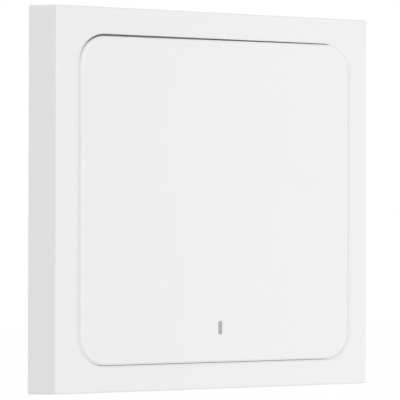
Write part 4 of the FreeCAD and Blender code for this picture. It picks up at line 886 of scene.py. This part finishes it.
depth = np.concatenate([
    [key_inside, rim_back - KEY_DETAIL_EDGE, rim_back, rim_back, rim_back - KEY_DETAIL_EDGE],
    key_front + KEY_EDGE * ARRIVING,
    [key_front, key_front + SLOT_EDGE, key_inside],
])
slot_grow = np.array([SLOT_EDGE, 0.0, 0.0])
half_x = np.concatenate([key_half_x - inset, SLOT_HALF[0] + slot_grow])
half_z = np.concatenate([key_half_z - inset, SLOT_HALF[1] + slot_grow])
corner = np.concatenate([KEY_ROUND - inset, (SLOT_HALF[0] + slot_grow) * NEARLY_ROUND])
middle_x = np.concatenate([np.full(len(inset), key_x), np.full(3, slot_x)])
middle_z = np.concatenate([np.full(len(inset), key_z), np.full(3, slot_z)])
key_rings = rounded_rings(half_x, half_z, corner, depth, middle_x, middle_z, **RING_STEPS)
share_x, share_z = key_rings[..., 0] / cad_half, key_rings[..., 2] / cad_half
key_rings[..., 2] += TOP_SKEW * share_x * np.clip(share_z, 0, 1)
key_wear = np.concatenate([np.zeros(5), rounding_wear, [0.2, 0.5, 0.0]])
key_skins = [skin(key_rings, loop=True)]
rib_outline = np.array([[-0.5, 0], [-0.5, 1], [0.5, 1], [0.5, 0]])
rib_section = rib_outline * (KEY_RIB, KEY_RIM_DEPTH + KEY_ROOT) + (0, key_root)
rib_reach = cad_half - KEY_RIM
for place in (-KEY_RIB_PLACE, KEY_RIB_PLACE):
    for turn, lower in ((0.0, 0.0), (math.pi / 2, KEY_RIB_LOWER)):
        section = rib_section + (place, -lower)
        key_skins.append(prism(section, -rib_reach, rib_reach, KEY_DETAIL_EDGE, turn))
boss_profile = rounded_disc(KEY_BOSS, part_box("push_pad")[0].y, key_root, KEY_DETAIL_EDGE)
key_skins.append(skin(turned(boss_profile, (0, 0))))
hinge_z = cad_half - HINGE_FROM_EDGE
hinge_y = ear_back - PIN_SHIFT - PIN_RADIUS
ear_half = [size - np.array([0.0, 0.0, KEY_DETAIL_EDGE]) for size in EAR]
ear_y = np.array([key_root, ear_back - KEY_DETAIL_EDGE, ear_back])
ear_side = EAR_PLACE + EAR[0]
pin_profile = rounded_disc(PIN_RADIUS, ear_side - KEY_ROOT, ear_side + PIN_REACH, PIN_EDGE)
arm = HOOK_FROM_EDGE - cad_half
under = arm - HOOK_ARM
nose = hook_back - HOOK_NOSE
hook_out = [arm, under, under, under - HOOK_REACH, under, arm]
hook_y = [key_root, key_root, nose, nose, hook_back, hook_back]
hook_outline = np.stack([hook_out, hook_y], axis=-1)
for side in (-1, 1):
    middle = side * EAR_PLACE
    key_skins.append(skin(rounded_rings(*ear_half, EAR_CORNER, ear_y, middle, hinge_z)[::-1]))
    pin = turned(pin_profile, (0, 0))
    pin = np.stack([pin[..., 1] * side, pin[..., 0] + hinge_y, pin[..., 2] + hinge_z], axis=-1)
    key_skins.append(skin(pin if side > 0 else pin[:, ::-1]))
    ends = (middle - HOOK_WIDTH / 2, middle + HOOK_WIDTH / 2)
    key_skins.append(prism(hook_outline, *ends, KEY_DETAIL_EDGE))
key_edge = np.zeros(sum(len(vertices) for vertices, faces in key_skins))
key_edge[:key_rings.size // 3] = np.repeat(key_wear, ring_points)
key_plate = assemble("key_plate_dressed", key_skins, key_edge, sharp=35)
fit(key_plate, "key", "white_key", satin_white("key_white", KEY_WHITE), "key_plate")

# Push pad: a round pad of the same silicone as the buffers, on the boss behind the key.
# It presses the main switch's plunger as the key sinks.
PUSH_PAD_EDGE = 0.15 * mm
push_low, push_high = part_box("push_pad")
push_profile = rounded_disc((push_high.x - push_low.x) / 2, push_high.y, push_low.y, PUSH_PAD_EDGE)
push_pad = assemble("push_pad_dressed", [skin(turned(push_profile, (0, 0)))])
fit(push_pad, "key", "soft_silicone", soft_silicone, "push_pad")

# Indicator lens: a small window of frosted, smoky polycarbonate, flush with the key.
# Its wider foot behind the key's slot keeps it from falling out forwards.
LENS_EDGE = 0.05 * mm
LENS_HALF = (0.515 * mm, 1.545 * mm)
LENS_HEAD = 0.6 * mm
LENS_GREY = (0.405, 0.405, 0.405)
LENS_DRIFT = (0.420, 0.420, 0.420)
foot_front = lens_high.y - LENS_HEAD
foot_half = np.array([(lens_high.x - lens_low.x) / 2, (lens_high.z - lens_low.z) / 2])
rim = LENS_EDGE * ROUNDING
half_x = np.concatenate([[foot_half[0], foot_half[0], LENS_HALF[0]], LENS_HALF[0] - rim])
half_z = np.concatenate([[foot_half[1], foot_half[1], LENS_HALF[1]], LENS_HALF[1] - rim])
depth = np.concatenate([[lens_high.y, foot_front, foot_front], lens_low.y + LENS_EDGE * ARRIVING])
lens_rings = rounded_rings(half_x, half_z, half_x * NEARLY_ROUND, depth, slot_x, slot_z)
lens_smoke = finish(
    "indicator_lens", LENS_GREY, LENS_DRIFT,
    patch=1 * mm, roughness=0.36, spread=0.04, grain=0.08 * mm, relief=0.004 * mm,
)
fit(assemble("lens", [skin(lens_rings)]), "key", "indicator_lens", lens_smoke, "indicator_lens")

# Floor and background: a plain pale floor well below the switch, and a white studio round it.
# The camera, and what gloss shows, see plain white; the lamps alone light the piece. The floor is
# clear from below, so that the switch's underside can be looked at too.
AMBIENT = 0.62
FLOOR_DROP = 0.16
FLOOR_HALF = 3.0
FLOOR_CORNERS = 9
FLOOR_GREY = (0.90, 0.90, 0.90)
FLOOR_ROUGHNESS = 0.9
FLOOR_GLOW = 0.985


def seen_directly(nodes, links):
    """Whether a ray comes from the camera, a reflection or clear plastic: the largest of the three."""
    path = nodes.new("ShaderNodeLightPath")
    either = nodes.new("ShaderNodeMath")
    either.operation = "MAXIMUM"
    links.new(path.outputs["Is Camera Ray"], either.inputs[0])
    links.new(path.outputs["Is Glossy Ray"], either.inputs[1])
    any_of = nodes.new("ShaderNodeMath")
    any_of.operation = "MAXIMUM"
    links.new(either.outputs["Value"], any_of.inputs[0])
    links.new(path.outputs["Is Transmission Ray"], any_of.inputs[1])
    return any_of.outputs["Value"]


studio = bpy.data.worlds.new("studio")
bpy.context.scene.world = studio
studio.use_nodes = True
nodes, links = studio.node_tree.nodes, studio.node_tree.links
ambient = nodes["Background"]
ambient.inputs["Color"].default_value = (1, 1, 1, 1)
ambient.inputs["Strength"].default_value = AMBIENT
plain_white = nodes.new("ShaderNodeBackground")
plain_white.inputs["Color"].default_value = (1, 1, 1, 1)
surround = nodes.new("ShaderNodeMixShader")
links.new(seen_directly(nodes, links), surround.inputs["Fac"])
links.new(ambient.outputs["Background"], surround.inputs[1])
links.new(plain_white.outputs["Background"], surround.inputs[2])
links.new(surround.outputs["Shader"], nodes["World Output"].inputs["Surface"])

grid = np.linspace(-1, 1, FLOOR_CORNERS)
u, v = np.meshgrid(grid, grid, indexing="ij")
floor_points = np.stack([u * FLOOR_HALF, v * FLOOR_HALF, np.full_like(u, -FLOOR_DROP)], axis=-1)
numbers = np.arange(FLOOR_CORNERS ** 2).reshape(FLOOR_CORNERS, FLOOR_CORNERS)
floor_faces = np.stack([numbers[:-1, :-1], numbers[1:, :-1], numbers[1:, 1:], numbers[:-1, 1:]], axis=-1)
floor_mesh = bpy.data.meshes.new("floor")
floor_mesh.from_pydata(floor_points.reshape(-1, 3).tolist(), [], floor_faces.reshape(-1, 4).tolist())
floor = bpy.data.objects.new("floor", floor_mesh)
bpy.context.scene.collection.objects.link(floor)
pale_floor = bpy.data.materials.new("pale_floor")
pale_floor.use_nodes = True
nodes, links = pale_floor.node_tree.nodes, pale_floor.node_tree.links
matt = nodes["Principled BSDF"]
matt.inputs["Base Color"].default_value = (*FLOOR_GREY, 1)
matt.inputs["Roughness"].default_value = FLOOR_ROUGHNESS
glow = nodes.new("ShaderNodeEmission")
glow_share = nodes.new("ShaderNodeMath")
glow_share.operation = "MULTIPLY"
glow_share.inputs[1].default_value = FLOOR_GLOW
links.new(seen_directly(nodes, links), glow_share.inputs[0])
from_above = nodes.new("ShaderNodeMixShader")
links.new(glow_share.outputs["Value"], from_above.inputs["Fac"])
links.new(matt.outputs["BSDF"], from_above.inputs[1])
links.new(glow.outputs["Emission"], from_above.inputs[2])
which_side = nodes.new("ShaderNodeNewGeometry")
clear = nodes.new("ShaderNodeBsdfTransparent")
either_side = nodes.new("ShaderNodeMixShader")
links.new(which_side.outputs["Backfacing"], either_side.inputs["Fac"])
links.new(from_above.outputs["Shader"], either_side.inputs[1])
links.new(clear.outputs["BSDF"], either_side.inputs[2])
links.new(either_side.outputs["Shader"], nodes["Material Output"].inputs["Surface"])
floor_mesh.materials.append(pale_floor)

# Lamps: a broad, distant one from in front and to the left, much as the camera looks, and a softer
# square one near the right-hand edge, which makes the front a little paler towards the right.
FRONT_TURN = 43
FRONT_RISE = 8
FRONT_SPREAD = 50
FRONT_ENERGY = 1.25
RIGHT_SIZE = 0.30
RIGHT_ENERGY = 0.116
RIGHT_SPOT = (0.10, -0.20, 0.0)
front = bpy.data.lights.new("front_left", "SUN")
front.angle = math.radians(FRONT_SPREAD)
front.energy = FRONT_ENERGY
front_holder = bpy.data.objects.new("front_left", front)
front_holder.rotation_euler = Euler([math.radians(a) for a in (90 - FRONT_RISE, 0, -FRONT_TURN)])
bpy.context.scene.collection.objects.link(front_holder)
right = bpy.data.lights.new("right", "AREA")
right.shape = "SQUARE"
right.size = RIGHT_SIZE
right.energy = RIGHT_ENERGY
right_holder = bpy.data.objects.new("right", right)
right_holder.location = RIGHT_SPOT
right_holder.rotation_euler = (-Vector(right_holder.location)).to_track_quat("-Z", "Y").to_euler()
bpy.context.scene.collection.objects.link(right_holder)

# Camera: level with the switch, 34 degrees round to its left, with a long lens.
# Its place, turns and focal length were fitted to the corners of the slab in the photograph.
CAMERA_TURN = 34.141
CAMERA_TILT = 0.41
CAMERA_ROLL = -0.151
CAMERA_SPOT = (-0.36841, -0.54753, -0.00453)
FOCAL_PIXELS = 2880
PICTURE_PIXELS = 400
SENSOR_WIDTH = 36.0
NEAREST_SEEN = 0.05
long_lens = bpy.data.cameras.new("camera")
long_lens.sensor_width = SENSOR_WIDTH
long_lens.lens = long_lens.sensor_width * FOCAL_PIXELS / PICTURE_PIXELS
long_lens.clip_start = NEAREST_SEEN
camera = bpy.data.objects.new("camera", long_lens)
camera.location = CAMERA_SPOT
camera.rotation_euler = Euler([math.radians(a) for a in (90 + CAMERA_TILT, CAMERA_ROLL, -CAMERA_TURN)])
bpy.context.scene.collection.objects.link(camera)
bpy.context.scene.camera = camera
bpy.context.scene.view_settings.view_transform = "Standard"
